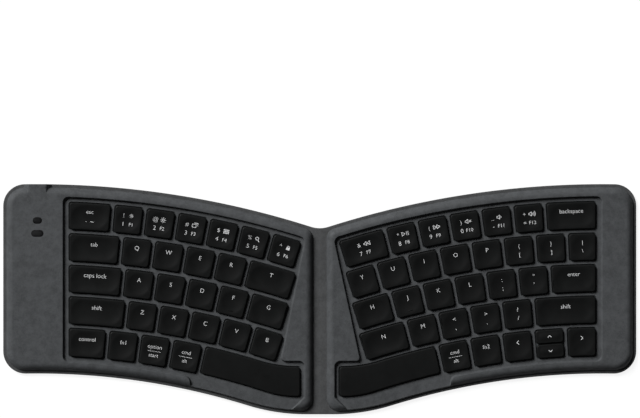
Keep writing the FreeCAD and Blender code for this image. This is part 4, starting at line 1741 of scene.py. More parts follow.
@dataclass
class Housing:
    """A moulded top with rounded sides, a sunk key field with its holes, and a thumb relief."""

    side: Side
    layout: Layout
    rim_radius: float = 4.6
    hole_corner: float = 1.9
    hole_round: float = 0.22
    wall_lean: float = 0.45
    wall_round: float = 0.4
    wall_fillet: float = 0.3
    boss_round: float = 0.4
    boss_soft: float = 0.35
    boss_blend: float = 0.3
    boss_insets: tuple[float, ...] = (0.0, 0.08, 0.2, 0.4, 0.7, 1.1, 1.6, 2.1, 2.5, 2.8, 3.05, 3.3, 3.6, 3.95)
    foot_gap: float = 0.22
    foot_tuck: float = 0.35
    soft: float = 0.12
    step: float = 1.25
    fillet_share: float = 0.45
    well_steps: tuple[float, ...] = (-0.3, -0.15, 0.0, 0.45, 0.53, 0.66, 0.85)
    hole_steps: tuple[float, ...] = (0.07, 0.22)
    bay_margin: float = 1.2
    # How far inside the rim's foot an opening's wall must lie to take the painted shade finish.
    coated: float = 0.5
    port_width: float = 9.14
    port_height: float = 3.36
    port_reach: tuple[float, float] = (-7.6, 4.0)

    @property
    def foot_inset(self) -> float:
        """How far the rim's foot lies inside the housing's widest outline."""
        return self.rim_radius * (1 - math.cos(self.rim_turns()[0]))

    def rim_turns(self) -> list[float]:
        """The angles at which the rim's round is drawn, from its foot to the top.

        Returns:
            The angles in radians.
        """
        layout = self.layout
        low_z = layout.cover_top + self.foot_gap
        foot = math.asin((self.rim_radius - layout.deck_top + low_z) / self.rim_radius)
        floor = math.asin((self.rim_radius - layout.deck_top + layout.web_top) / self.rim_radius)
        low = [foot + (floor - foot) * k / 5 for k in range(5)]
        return low + [floor + (math.pi / 2 - floor) * k / 6 for k in range(7)]

    def rim_rings(self) -> list[Ring]:
        """Parallel outlines of the rim, from its foot inwards.

        Returns:
            One ring for each angle, with matching points.
        """
        insets = [self.rim_radius * (1 - math.cos(turn)) for turn in self.rim_turns()]
        counts = self.layout.housing_outline(insets[0]).shares(self.step)
        return [self.layout.housing_outline(inset).ring(self.step, counts) for inset in insets]

    def well_ring(self) -> Ring:
        """The key field's outline at its floor."""
        return self.layout.well_outline(self.side).eased(self.layout.well_corner, 10).ring(0.8)

    def boss_ring(self, inset: float) -> Ring:
        """The charging socket's boss, out to the cover's edge.

        Args:
            inset: How far inside the boss's foot it lies.

        Returns:
            The outline's points.
        """
        layout = self.layout
        reach = layout.boss_width / 2 - inset
        front = layout.port_y - layout.boss_depth + inset
        edge = layout.back_radius - inset
        low, high = layout.boss_x - reach, layout.boss_x + reach
        path = Path((low, front)).line((high, front)).line(on_circle(layout.fan_centre, edge, high))
        path.arc(layout.fan_centre, on_circle(layout.fan_centre, edge, low))
        return path.eased(0.5, 5).ring(0.5)

    def hole_ring(self, cell: Cell | None, widen: float) -> Ring:
        """A key hole's outline, widened.

        Args:
            cell: The key's cell, or none for the space bar.
            widen: How much wider.

        Returns:
            The outline's points.
        """
        inset = self.layout.hole_gap - widen
        if cell is None:
            return self.layout.space_outline(self.side, inset).eased(self.hole_corner + widen).ring(1.5)
        corner = self.hole_corner + widen
        return self.layout.cell_outline(cell, inset).eased(corner).ring(1.6)

    def window_rings(self) -> list[Ring]:
        """The indicator windows' holes."""
        return [stadium(*place) for place in IndicatorWindows.places(self.layout)]

    def height(self, points: np.ndarray, outline: Ring, well: Ring, holes: Sequence[Ring]) -> np.ndarray:
        """The housing's top at each point.

        Args:
            points: The places to measure.
            outline: The housing's outline.
            well: The key field's outline at its floor.
            holes: The key holes' outlines.

        Returns:
            The heights in millimetres.
        """
        layout = self.layout
        top = layout.deck_top
        inside = depth_inside(points, outline)
        rim = top - rounded(inside, self.rim_radius)
        if self.side is Side.LEFT:
            rim = self.with_boss(points, rim)
        out = -depth_inside(points, well)
        fillet = np.clip(out + self.wall_fillet, 0, self.wall_fillet)
        foot = self.wall_fillet - np.sqrt(self.wall_fillet**2 - fillet**2)
        share = np.clip(out / self.wall_lean, 0, 1)
        base = self.wall_fillet * self.fillet_share
        shoulder = top - self.wall_round
        climb = layout.web_top + base + share * (shoulder - layout.web_top - base)
        lip = top - rounded(out - self.wall_lean, self.wall_round)
        floor = layout.web_top + foot * self.fillet_share
        wall = np.where(out <= 0, floor, np.where(out < self.wall_lean, climb, lip))
        z = soft_least(rim, wall, self.soft)
        for hole in holes:
            close = near_ring(points, hole, self.hole_round)
            if close.any():
                z[close] -= rounded(-depth_inside(points[close], hole), self.hole_round)
        return z

    def with_boss(self, points: np.ndarray, rim: np.ndarray) -> np.ndarray:
        """The rim's heights with the socket's boss joined on.

        Args:
            points: The places to measure.
            rim: The rim's height at each.

        Returns:
            The heights of both together.
        """
        layout = self.layout
        top = layout.deck_top
        lean = (layout.boss_width - layout.boss_top_width) / 2
        away = layout.boss_width / 2 - np.abs(points[:, 0] - layout.boss_x)
        slope = layout.cover_top + away * (top - layout.cover_top) / lean
        boss = soft_least(slope, top, self.boss_soft)
        centre = np.array(layout.fan_centre)
        boss -= rounded(layout.back_radius - np.linalg.norm(points - centre, axis=1), self.boss_round)
        near = (away > -self.boss_round) & (points[:, 1] > layout.port_y - layout.boss_depth)
        return np.where(near, np.minimum(-soft_least(-boss, -rim, self.boss_blend), top), rim)

    def build(self) -> bpy.types.Object:
        """Makes the housing.

        Returns:
            The piece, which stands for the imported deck.
        """
        layout = self.layout
        rims = self.rim_rings()
        well = self.well_ring()
        cells: list[Cell | None] = [*layout.hole_cells(self.side), None]
        holes = [self.hole_ring(cell, 0.0) for cell in cells]
        rings = [*rims, *holes, *(moved_out(well, out) for out in self.well_steps)]
        rings += [self.hole_ring(cell, widen) for widen in self.hole_steps for cell in cells]
        windows: list[Ring] = []
        bosses: list[Ring] = []
        if self.side is Side.LEFT:
            windows = self.window_rings()
            bosses = [self.boss_ring(inset) for inset in self.boss_insets]
        net = Net.between(rings + windows + bosses)
        keep = is_inside(net.middles, rims[0])
        for boss in bosses[:1]:
            keep |= is_inside(net.middles, boss)
        for hole in holes + windows:
            keep &= ~is_inside(net.middles, hole)
        net = net.kept(keep)
        skin = Skin(self.side)
        z = self.height(net.points, layout.housing_outline(0.0).ring(0.8), well, holes)
        z = np.maximum(z, layout.cover_top + self.foot_gap)
        placed = np.array(skin.place(net.points, z))
        for triangle in placed[net.triangles]:
            skin.face(triangle.tolist())
        count = len(net.points)
        LOG.info("housing_%s: %d points, rim foot %.3f mm in", self.side.word, count, self.foot_inset)
        self.close(skin, net, placed, holes + windows, rims[0])
        # The second finish is the painted shade on the walls of the openings.
        piece = skin.piece(f"housing_{self.side.word}", [Finish.HOUSING, Finish.RAW], even=True)
        if self.side is Side.LEFT:
            self.cut_port(piece)
        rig.replaces(piece, f"deck_{self.side.word}")
        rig.slot(piece, "housing")
        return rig.ride(piece, self.side.body)

    def foot(self, top: Net, outer: Ring) -> tuple[np.ndarray, Ring]:
        """Tucks the rim's foot in.

        Args:
            top: The net of the top.
            outer: The outline of the rim's foot.

        Returns:
            The top's points with those of its outer border moved in, and that border's points in order.
        """
        border = np.unique(top.rim())
        border = border[np.abs(depth_inside(top.points[border], outer)) < TOUCHING]
        counts = self.layout.housing_outline(self.foot_inset).shares(self.step)
        tucked = self.layout.housing_outline(self.foot_inset + self.foot_tuck).ring(self.step, counts)
        under = top.points.copy()
        under[border] = carried(top.points[border], outer, tucked)
        return under, under[top.loop(border[top.points[border, 0].argmax()])]

    def underside(self, skin: Skin, borders: np.ndarray, edge: Ring, holes: Sequence[Ring]) -> Underside:
        """Adds the underside, with a pocket for the plate and the tray, and a higher bay beside the keys.

        Args:
            skin: The piece so far.
            borders: The lines that it shares with the walls, as point pairs.
            edge: Its outer border.
            holes: The outlines of every opening.

        Returns:
            The underside, with its faces in the skin.
        """
        layout = self.layout
        pocket = layout.housing_outline(layout.housing_wall).ring(3.0)
        bay_x = layout.field_outer_x(self.side) + layout.well_side + layout.bay_clearance
        spare = layout.flange + self.bay_margin
        split = np.array([[on_circle(layout.fan_centre, layout.front_radius + spare, bay_x),
                           on_circle(layout.fan_centre, layout.back_radius - spare, bay_x)]])
        net = Net.between([pocket], edges=np.concatenate([borders, split]))
        keep = is_inside(net.middles, edge)
        for hole in holes:
            keep &= ~is_inside(net.middles, hole)
        net = net.kept(keep)
        ceiling = np.where(net.middles[:, 0] > bay_x, layout.bay_top, layout.web_bottom)
        levels = np.where(is_inside(net.middles, pocket), ceiling, layout.cover_top)
        found = Underside(skin, net, levels)
        found.add_floors()
        found.add_steps()
        return found

    def close(self, skin: Skin, top: Net, placed: np.ndarray, holes: Sequence[Ring], outer: Ring) -> None:
        """Adds the underside and the walls that join it to the top; the walls of the openings inside the housing take
        a near-black finish as painted shade.

        Args:
            skin: The piece so far.
            top: The net of its top.
            placed: The top's point numbers in the skin.
            holes: The outlines of every opening.
            outer: The outline of the rim's foot.
        """
        rim = top.rim()
        under, edge = self.foot(top, outer)
        below = self.underside(skin, under[rim], edge, holes)
        found = tree_of(below.net.points)
        deep = depth_inside(top.points, outer)
        for first, second in rim:
            pair = [found.find((*under[k], 0.0))[1] for k in (first, second)]
            z = below.owners[tuple(sorted(pair))][0]
            heights = [skin.points[placed[k]][2] / MM for k in (first, second)]
            corners = [placed[first], placed[second]]
            corners += [below.number(pair[k], z) for k in (1, 0) if abs(heights[k] - z) > TOUCHING / 10]
            if len(corners) > 2:
                # Walls of the openings inside the housing take the second finish, painted shade.
                skin.face([int(c) for c in corners], int(min(deep[first], deep[second]) > self.coated))

    def cut_port(self, piece: bpy.types.Object) -> None:
        """Cuts the charging socket's slot through the back wall.

        Args:
            piece: The left housing.
        """
        layout = self.layout
        section = stadium((layout.boss_x, layout.port_z), self.port_width, self.port_height, 16)
        cutter = Skin(self.side)
        ends = [cutter.stand(section, layout.port_y + reach) for reach in self.port_reach]
        cutter.band(*ends)
        for end in ends:
            cutter.face(end)
        tool = cutter.piece("port_cutter", [Finish.HOUSING])
        modifier = piece.modifiers.new("Port", "BOOLEAN")
        modifier.object = tool
        modifier.solver = "EXACT"
        apply_modifiers(piece, ("Port",))
        bpy.data.objects.remove(tool)


def apply_modifiers(piece: bpy.types.Object, names: Sequence[str]) -> None:
    """Turns some of a piece's modifiers into its mesh and keeps the rest.

    Args:
        piece: The piece.
        names: The modifiers to apply.
    """
    others = [m for m in piece.modifiers if m.name not in names]
    for modifier in others:
        modifier.show_viewport = False
    bpy.context.view_layer.update()
    graph = bpy.context.evaluated_depsgraph_get()
    mesh = bpy.data.meshes.new_from_object(piece.evaluated_get(graph), depsgraph=graph)
    old = piece.data
    piece.data = mesh
    bpy.data.meshes.remove(old)
    mesh.name = piece.name
    for name in names:
        piece.modifiers.remove(piece.modifiers[name])
    for modifier in others:
        modifier.show_viewport = True


# Windows, socket and feet


@dataclass
class IndicatorWindows:
    """Two small dark pills over the lamps of the controller board."""

    layout: Layout
    fit: float = 0.05
    steps: tuple[Point, ...] = ((0.0, -1.3), (0.0, -0.44), (0.05, -0.36), (0.2, -0.31), (0.7, -0.27),
                                (1.1, -0.24), (1.6, -0.22))

    @staticmethod
    def places(layout: Layout) -> list[tuple[Point, float, float]]:
        """Each window's middle, length and height."""
        return [((layout.boss_x, layout.half_depth - 21.8), 5.6, 3.9),
                ((layout.boss_x, layout.half_depth - 29.5), 7.4, 4.1)]

    def build(self) -> bpy.types.Object:
        """Makes the windows, slightly sunk with a softly domed top.

        Returns:
            The piece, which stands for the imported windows.
        """
        skin = Skin(Side.LEFT)
        top = self.layout.deck_top
        for place, width, height in self.places(self.layout):
            insets = [2 * (self.fit + inset) for inset, _ in self.steps]
            rings = [stadium(place, width - inset, height - inset) for inset in insets]
            skin.tower(rings, [top + z for _, z in self.steps])
            skin.finishes[-1] = 1
            skin.finishes[-2 - len(rings[0]):-2] = [1] * len(rings[0])
        piece = skin.piece("indicator_pills", [Finish.WINDOW, Finish.LENS], 50.0)
        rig.replaces(piece, "indicator_windows")
        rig.slot(piece, "window")
        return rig.ride(piece, Side.LEFT.body)


@dataclass
class ChargingSocket:
    """A steel-shelled socket with a black tongue and its row of contacts."""

    layout: Layout
    width: float = 8.94
    height: float = 3.16
    depth: float = 7.35
    wall: float = 0.3
    sunk: float = 0.15
    lip: float = 0.1
    broken_edge: float = 0.12
    tongue_margin: float = 1.1
    tongue_ends: Point = (0.5, 0.6)
    tongue_half: float = 0.33
    contacts: int = 12
    contact_margin: float = 0.4
    contact_share: float = 0.3
    contact_ends: Point = (1.2, 0.9)
    contact_levels: Point = (0.31, 0.36)

    def ring(self, skin: Skin, inset: float, y: float) -> list[int]:
        """Adds an upright slot-shaped ring at a depth."""
        size = (self.width - 2 * inset, self.height - 2 * inset)
        return skin.stand(stadium((self.layout.boss_x, self.layout.port_z), *size, 14), y)

    def block(self, skin: Skin, x: tuple[float, float], y: tuple[float, float], z: tuple[float, float],
              finish: int) -> None:
        """Adds a small block with its upper and lower front edges broken.

        Args:
            skin: The piece so far.
            x: Its two ends along X in half coordinates.
            y: Its front and back.
            z: Its bottom and top.
            finish: The number of its finish.
        """
        cut = min(self.broken_edge, (z[1] - z[0]) / 3)
        profile = ((y[0], z[0]), (y[1] - cut, z[0]), (y[1], z[0] + cut), (y[1], z[1] - cut),
                   (y[1] - cut, z[1]), (y[0], z[1]))
        plan = [np.array([(end, depth) for depth, _ in profile]) for end in x]
        ends = [skin.place(places, np.array([level for _, level in profile])) for places in plan]
        skin.band(*ends, finish)
        for end in ends:
            skin.face(end, finish)

    def build(self) -> bpy.types.Object:
        """Makes the socket.

        Returns:
            The piece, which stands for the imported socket.
        """
        layout = self.layout
        back = layout.port_y - self.sunk
        front = back - self.depth
        skin = Skin(Side.LEFT)
        turned = self.lip * 0.6
        steps = ((0.0, front), (0.0, back - self.lip), (turned, back), (self.wall - turned, back),
                 (self.wall, back - self.lip), (self.wall, front + 2 * self.wall))
        rings = [self.ring(skin, inset, y) for inset, y in steps]
        for low, high in zip(rings, rings[1:]):
            skin.band(low, high)
        skin.face(rings[0])
        skin.face(rings[-1])
        reach = self.width / 2 - self.tongue_margin
        z = layout.port_z
        run = (front + self.tongue_ends[0], back - self.tongue_ends[1])
        self.block(skin, (layout.boss_x - reach, layout.boss_x + reach), run,
                   (z - self.tongue_half, z + self.tongue_half), 1)
        pitch = 2 * (reach - self.contact_margin) / self.contacts
        run = (front + self.contact_ends[0], back - self.contact_ends[1])
        low, high = self.contact_levels
        for k in range(self.contacts):
            x = layout.boss_x - reach + self.contact_margin + pitch * (k + 0.5)
            ends = (x - pitch * self.contact_share, x + pitch * self.contact_share)
            for level in ((z + low, z + high), (z - high, z - low)):
                self.block(skin, ends, run, level, 2)
        piece = skin.piece("charging_socket", [Finish.SHELL, Finish.TONGUE, Finish.GOLD])
        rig.replaces(piece, "usb_c_socket")
        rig.slot(piece, "shell_steel")
        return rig.ride(piece, Side.LEFT.body)


@dataclass
class Feet:
    """Rubber pads under one half."""

    side: Side
    layout: Layout
    length: float = 18.0
    width: float = 6.0
    corner: float = 2.4
    outer_offset: float = 17.5
    inner_x: float = 17.0
    edge_offset: float = 11.9
    steps: tuple[Point, ...] = ((0.0, 0.8), (0.0, 0.26), (0.04, 0.14), (0.12, 0.05), (0.26, 0.0))

    def places(self) -> list[Point]:
        """The middle of each pad.

        Returns:
            The places in half coordinates.
        """
        layout = self.layout
        found = []
        for x in (layout.half_width - self.outer_offset, self.inner_x):
            back = on_circle(layout.fan_centre, layout.back_radius, x)[1]
            front = max(-layout.half_depth, on_circle(layout.fan_centre, layout.front_radius, x)[1])
            found += [(x, back - self.edge_offset), (x, front + self.edge_offset)]
        return found

    def build(self) -> bpy.types.Object:
        """Makes the pads, with softly rounded lower edges.

        Returns:
            The piece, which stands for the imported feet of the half.
        """
        skin = Skin(self.side)
        for x, y in self.places():
            rings = []
            for inset, _ in self.steps:
                reach, half = self.length / 2 - inset, self.width / 2 - inset
                path = Path((x - reach, y - half))
                path.line((x + reach, y - half)).line((x + reach, y + half)).line((x - reach, y + half))
                rings.append(path.eased(self.corner - inset).ring(self.length))
            skin.tower(rings, [z for _, z in self.steps])
        piece = skin.piece(f"foot_pads_{self.side.word}", [Finish.FOOT], 60.0)
        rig.replaces(piece, f"feet_{self.side.word}")
        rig.slot(piece, "foot_rubber")
        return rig.ride(piece, self.side.body)


# Cover and spine


@dataclass
class Cover:
    """The thin soft sheet under everything: a flange all round each half, and the fold between them."""

    layout: Layout
    seam_x: float = 6.0
    top_round: float = 0.42
    bottom_round: float = 0.3
    bend_from: float = 3.05
    bend_to: float = 5.35
    bend_flats: int = 16
    step: float = 2.5
    flat_columns: tuple[float, ...] = (0.0, 1.0, 2.0, 2.6)
    rows: int = 24
    row_margin: float = 2.0

    def edge_steps(self) -> list[tuple[float, float]]:
        """The sheet's edge as insets and heights, from its underside round to its top."""
        low = [(down, self.layout.cover_bottom + inward) for inward, down in quarter(self.bottom_round)]
        return low + [(inward, self.layout.cover_top - down) for inward, down in quarter(self.top_round)]

    def crease(self, side: Side) -> list[tuple[float, float, float]]:
        """Where the bend at one crease starts and ends, in metres."""
        level = self.layout.cover_top * MM
        return [(side.value * x * MM, 0.0, level) for x in (self.bend_from, self.bend_to)]

    def paint_edge(self, skin: Skin, count: int) -> None:
        """Gives the sheet's cut edge its darker finish.

        Args:
            skin: The sheet so far.
            count: How many points a ring of it has.
        """
        low = self.layout.cover_bottom + 0.02
        high = self.layout.cover_top - 0.1
        for k, corners in enumerate(skin.faces):
            middle = sum(skin.points[c][2] for c in corners) / len(corners) / MM
            if low < middle < high and len(corners) < count:
                skin.finishes[k] = 1

    def half(self, side: Side) -> bpy.types.Object:
        """Makes the stiff part of the sheet under one half.

        Args:
            side: The half.

        Returns:
            The piece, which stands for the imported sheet.
        """
        skin = Skin(side)
        steps = self.edge_steps()
        counts = self.layout.cover_outline(0.0, self.seam_x).shares(self.step)
        rings = [self.layout.cover_outline(inset, self.seam_x).ring(self.step, counts) for inset, _ in steps]
        skin.tower(rings, [z for _, z in steps])
        self.paint_edge(skin, len(rings[0]))
        piece = skin.piece(f"cover_{side.word}", [Finish.COVER, Finish.EDGE], even=True)
        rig.replaces(piece, f"base_cover_{side.word}")
        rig.slot(piece, "cover")
        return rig.ride(piece, side.body)

    def fold(self, side: Side) -> bpy.types.Object:
        """Makes the part of the sheet that bends at one crease, from the middle of the spine to the half.

        Args:
            side: The half that it leads to.

        Returns:
            The piece, which bends between the spine and the half.
        """
        layout = self.layout
        skin = Skin(side)
        bend = np.linspace(self.bend_from, self.bend_to, self.bend_flats + 1)
        columns = [*self.flat_columns, *bend.tolist(), self.seam_x]
        steps = self.edge_steps()
        placed = []
        for x in columns:
            back = layout.back_edge_y(x)
            front = -layout.half_depth
            plan = [(x, front + inset) for inset, _ in steps]
            heights = [z for _, z in steps]
            inner = np.linspace(front + self.row_margin, back - self.row_margin, self.rows)
            plan += [(x, y) for y in inner]
            heights += [layout.cover_top] * len(inner)
            plan += [(x, back - inset) for inset, _ in reversed(steps)]
            heights += [z for _, z in reversed(steps)]
            plan += [(x, y) for y in inner[::-1]]
            heights += [layout.cover_bottom] * len(inner)
            placed.append(skin.place(np.array(plan), np.array(heights)))
        for low, high in zip(placed, placed[1:]):
            skin.band(low, high)
        skin.face(placed[0])
        skin.face(placed[-1])
        self.paint_edge(skin, len(placed[0]))
        piece = skin.piece(f"spine_fold_{side.word}", [Finish.COVER, Finish.EDGE])
        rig.replaces(piece, "spine_band")
        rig.slot(piece, "cover")
        start, end = self.crease(side)
        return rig.blend(piece, "spine", side.body, start=start, end=end)


@dataclass
class FlexCable:
    """The ribbon between the halves, which lies in the cover sheet and bends with it."""

    layout: Layout
    middle_y: float = -2.0
    width: float = 16.0
    thickness: float = 0.15
    turn_x: float = 9.0
    top: float = 2.8

    def half(self, side: Side) -> bpy.types.Object:
        """Makes the ribbon from the middle of the spine to its upright end in one half.

        Args:
            side: The half that it leads to.

        Returns:
            The piece, which bends between the spine and the half.
        """
        layout = self.layout
        bend = Cover(layout)
        low = (layout.cover_bottom + layout.cover_top - self.thickness) / 2
        high = low + self.thickness
        turns = np.linspace(bend.bend_from, bend.bend_to, bend.bend_flats + 1).tolist()
        across = [0.0, 1.5, *turns, bend.seam_x, self.turn_x]
        out = self.turn_x + self.thickness
        profile = [(x, low) for x in (*across[:-1], out)] + [(out, self.top), (self.turn_x, self.top)]
        profile += [(x, high) for x in reversed(across)]
        skin = Skin(side)
        ends = []
        for y in (self.middle_y - self.width / 2, self.middle_y + self.width / 2):
            plan = np.array([(x, y) for x, _ in profile])
            ends.append(skin.place(plan, np.array([z for _, z in profile])))
        skin.band(*ends)
        for end in ends:
            skin.face(end)
        piece = skin.piece(f"flex_ribbon_{side.word}", [Finish.FLEX])
        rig.replaces(piece, "flex_cable")
        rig.slot(piece, "flex")
        start, end = bend.crease(side)
        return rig.blend(piece, "spine", side.body, start=start, end=end)


# Legends


class Sign(Enum):
    """A small generic picture among the legends."""

    SUN_SMALL = "dimmer"
    SUN_LARGE = "brighter"
    PANES = "two overlapping panes"
    GRID = "rows of small squares"
    GLASS = "a magnifying glass"
    PADLOCK = "a closed padlock"
    REWIND = "two triangles towards the left"
    PLAY_PAUSE = "a triangle and two bars"
    FORWARD = "two triangles towards the right"
    MUTE = "a crossed-out loudspeaker"
    QUIETER = "a loudspeaker with one wave"
    LOUDER = "a loudspeaker with three waves"
    RULE = "a line between two words"
    POINT_LEFT = "an open arrow head towards the left"
    POINT_RIGHT = "an open arrow head towards the right"
    POINT_UP = "an open arrow head towards the back"
    POINT_DOWN = "an open arrow head towards the front"

    def strokes(self) -> list[Ring]:
        """The sign's faces, one unit high about its own middle."""
        return SIGN_MAKERS[self]()


@dataclass(frozen=True)
class Mark:
    """A printed mark: what it says or shows, where its middle lies on the key, and how high it is."""

    text: str | Sign
    across: float
    up: float
    height: float


@dataclass
class Typeface:
    """The plain letters of the legends, cut from the built-in font, with capitals one unit high."""

    weight: float = -0.008
    capital: float = 1.0
    known: dict[str, tuple[list[np.ndarray], float, float]] = field(default_factory=dict)

    def __post_init__(self) -> None:
        """Measures the font's capitals."""
        faces, _, _ = self.cut("H")
        points = np.concatenate(faces)
        self.capital = float(np.ptp(points[:, 1]))
        self.known.clear()

    def cut(self, text: str) -> tuple[list[np.ndarray], float, float]:
        """A word's small faces, and its left and right ends.

        Args:
            text: The word.

        Returns:
            The faces as arrays of points, and the ends.
        """
        if text not in self.known:
            letters = bpy.data.curves.new("letters", "FONT")
            letters.body = text
            letters.resolution_u = 3
            letters.offset = self.weight
            holder = bpy.data.objects.new("letters", letters)
            bpy.context.scene.collection.objects.link(holder)
            bpy.context.view_layer.update()
            graph = bpy.context.evaluated_depsgraph_get()
            mesh = bpy.data.meshes.new_from_object(holder.evaluated_get(graph))
            points = np.array([v.co[:2] for v in mesh.vertices]) / self.capital
            faces = [points[list(face.vertices)] for face in mesh.polygons]
            ends = (float(points[:, 0].min()), float(points[:, 0].max()))
            bpy.data.objects.remove(holder)
            bpy.data.curves.remove(letters)
            bpy.data.meshes.remove(mesh)
            self.known[text] = (faces, *ends)
        return self.known[text]


def stroke(x0: float, y0: float, x1: float, y1: float, width: float = 0.13) -> Ring:
    """A straight stroke.

    Args:
        x0: The X of its start.
        y0: The Y of its start.
        x1: The X of its end.
        y1: The Y of its end.
        width: How wide it is.

    Returns:
        Its four corners.
    """
    run = np.array([x1 - x0, y1 - y0])
    across = np.array([-run[1], run[0]]) / np.linalg.norm(run) * width / 2
    first, second = np.array([x0, y0]), np.array([x1, y1])
    return np.array([first - across, second - across, second + across, first + across])


def line(points: Sequence[Point], width: float, shut: bool = True) -> list[Ring]:
    """Strokes along a line of points, which may close on itself."""
    ends = list(points[1:]) + ([points[0]] if shut else [])
    return [stroke(*a, *b, width) for a, b in zip(points, ends)]


def arc(x: float, y: float, radius: float, first: float, last: float, width: float = 0.12) -> list[Ring]:
    """A curved stroke about a centre between two angles in degrees."""
    turns = np.radians(np.linspace(first, last, 9))
    return line([(x + radius * math.cos(t), y + radius * math.sin(t)) for t in turns], width, shut=False)


def sun(radius: float, width: float, near: float, far: float) -> list[Ring]:
    """A ring with eight rays.

    Args:
        radius: The ring's radius.
        width: How wide its line is.
        near: Where the rays start.
        far: Where they end.

    Returns:
        The sign's faces.
    """
    rays = [stroke(near * math.cos(t), near * math.sin(t), far * math.cos(t), far * math.sin(t), 0.09)
            for t in np.arange(8) * math.pi / 4]
    return arc(0, 0, radius, 0, 360, width) + rays


def panes() -> list[Ring]:
    """Two overlapping panes."""
    back = line([(-0.15, 0.45), (0.55, 0.45), (0.55, -0.05)], 0.1, shut=False)
    return back + line([(-0.5, 0.2), (0.25, 0.2), (0.25, -0.4), (-0.5, -0.4)], 0.1)


def squares() -> list[Ring]:
    """Three rows of four small squares.

    Returns:
        The sign's faces.
    """
    side = 0.22
    return [stroke(x - side / 2, y, x + side / 2, y, side) for x in (-0.42, -0.14, 0.14, 0.42)
            for y in (-0.3, 0.0, 0.3)]


def triangles(way: int, *places: float) -> list[Ring]:
    """Outlined triangles that point one way, each from its flat side's place."""
    return [face for x in places for face in line([(x, -0.27), (x + way * 0.42, 0.0), (x, 0.27)], 0.075)]


def speaker(waves: int) -> list[Ring]:
    """A loudspeaker.

    Args:
        waves: How many waves it has. One without any is crossed out.

    Returns:
        The sign's faces.
    """
    horn = line([(-0.55, -0.14), (-0.36, -0.14), (-0.08, -0.36), (-0.08, 0.36), (-0.36, 0.14),
                 (-0.55, 0.14)], 0.09)
    if not waves:
        return horn + [stroke(0.12, y, 0.46, -y, 0.1) for y in (-0.17, 0.17)]
    return horn + [face for k in range(waves) for face in arc(-0.1, 0, 0.26 + 0.2 * k, -42, 42, 0.09)]


def arrow(x: float, y: float) -> list[Ring]:
    """An open arrow head.

    Args:
        x: 1 or -1 where it points along X, otherwise 0.
        y: The same along Y.

    Returns:
        The sign's faces.
    """
    wing, tip, spread = -0.22, 0.25, 0.45
    across, along = spread * abs(y), spread * abs(x)
    left, right = (wing * x - across, wing * y + along), (wing * x + across, wing * y - along)
    return line([left, (tip * x, tip * y), right], 0.15, shut=False)


SIGN_MAKERS: dict[Sign, Callable[[], list[Ring]]] = {
    Sign.SUN_SMALL: lambda: sun(0.18, 0.09, 0.32, 0.41),
    Sign.SUN_LARGE: lambda: sun(0.22, 0.1, 0.34, 0.54),
    Sign.PANES: panes,
    Sign.GRID: squares,
    Sign.GLASS: lambda: arc(-0.08, 0.1, 0.3, 0, 360) + [stroke(0.12, -0.12, 0.42, -0.44, 0.15)],
    Sign.PADLOCK: lambda: [stroke(-0.34, -0.2, 0.34, -0.2, 0.52)] + arc(0, 0.08, 0.22, 0, 180),
    Sign.REWIND: lambda: triangles(-1, 0.0, 0.48),
    Sign.PLAY_PAUSE: lambda: triangles(1, -0.5) + [stroke(x, -0.27, x, 0.27, 0.075) for x in (0.14, 0.36)],
    Sign.FORWARD: lambda: triangles(1, 0.0, -0.48),
    Sign.MUTE: lambda: speaker(0),
    Sign.QUIETER: lambda: speaker(1),
    Sign.LOUDER: lambda: speaker(3),
    Sign.RULE: lambda: [stroke(-4.0, 0, 4.0, 0, 0.2)],
    Sign.POINT_LEFT: lambda: arrow(-1, 0),
    Sign.POINT_RIGHT: lambda: arrow(1, 0),
    Sign.POINT_UP: lambda: arrow(0, 1),
    Sign.POINT_DOWN: lambda: arrow(0, -1),
}


def number_marks(shifted: str, sign: Sign, digit: str, function: str,
                 height: float = 3.1) -> tuple[Mark, ...]:
    """The four marks of a key in the number row."""
    return (Mark(shifted, -2.7, 2.6, 2.3), Mark(sign, 1.9, 2.6, height),
            Mark(digit, -2.7, -2.6, 2.4), Mark(function, 1.9, -2.6, 2.0))


def pair_marks(upper: str, lower: str, height: float = 2.5) -> tuple[Mark, ...]:
    """Two signs one above the other."""
    return (Mark(upper, 0.0, 2.8, height), Mark(lower, 0.0, -2.2, height))


def word_marks(word: str, up: float = 2.5, height: float = 2.3) -> tuple[Mark, ...]:
    """One word in the upper half."""
    return (Mark(word, 0.0, up, height),)


def stacked_marks(upper: str, lower: str) -> tuple[Mark, ...]:
    """Two words with a line between them."""
    return (Mark(upper, 0.0, 2.6, 2.2), Mark(Sign.RULE, 0.0, -0.15, 1.0), Mark(lower, 0.0, -2.5, 2.1))


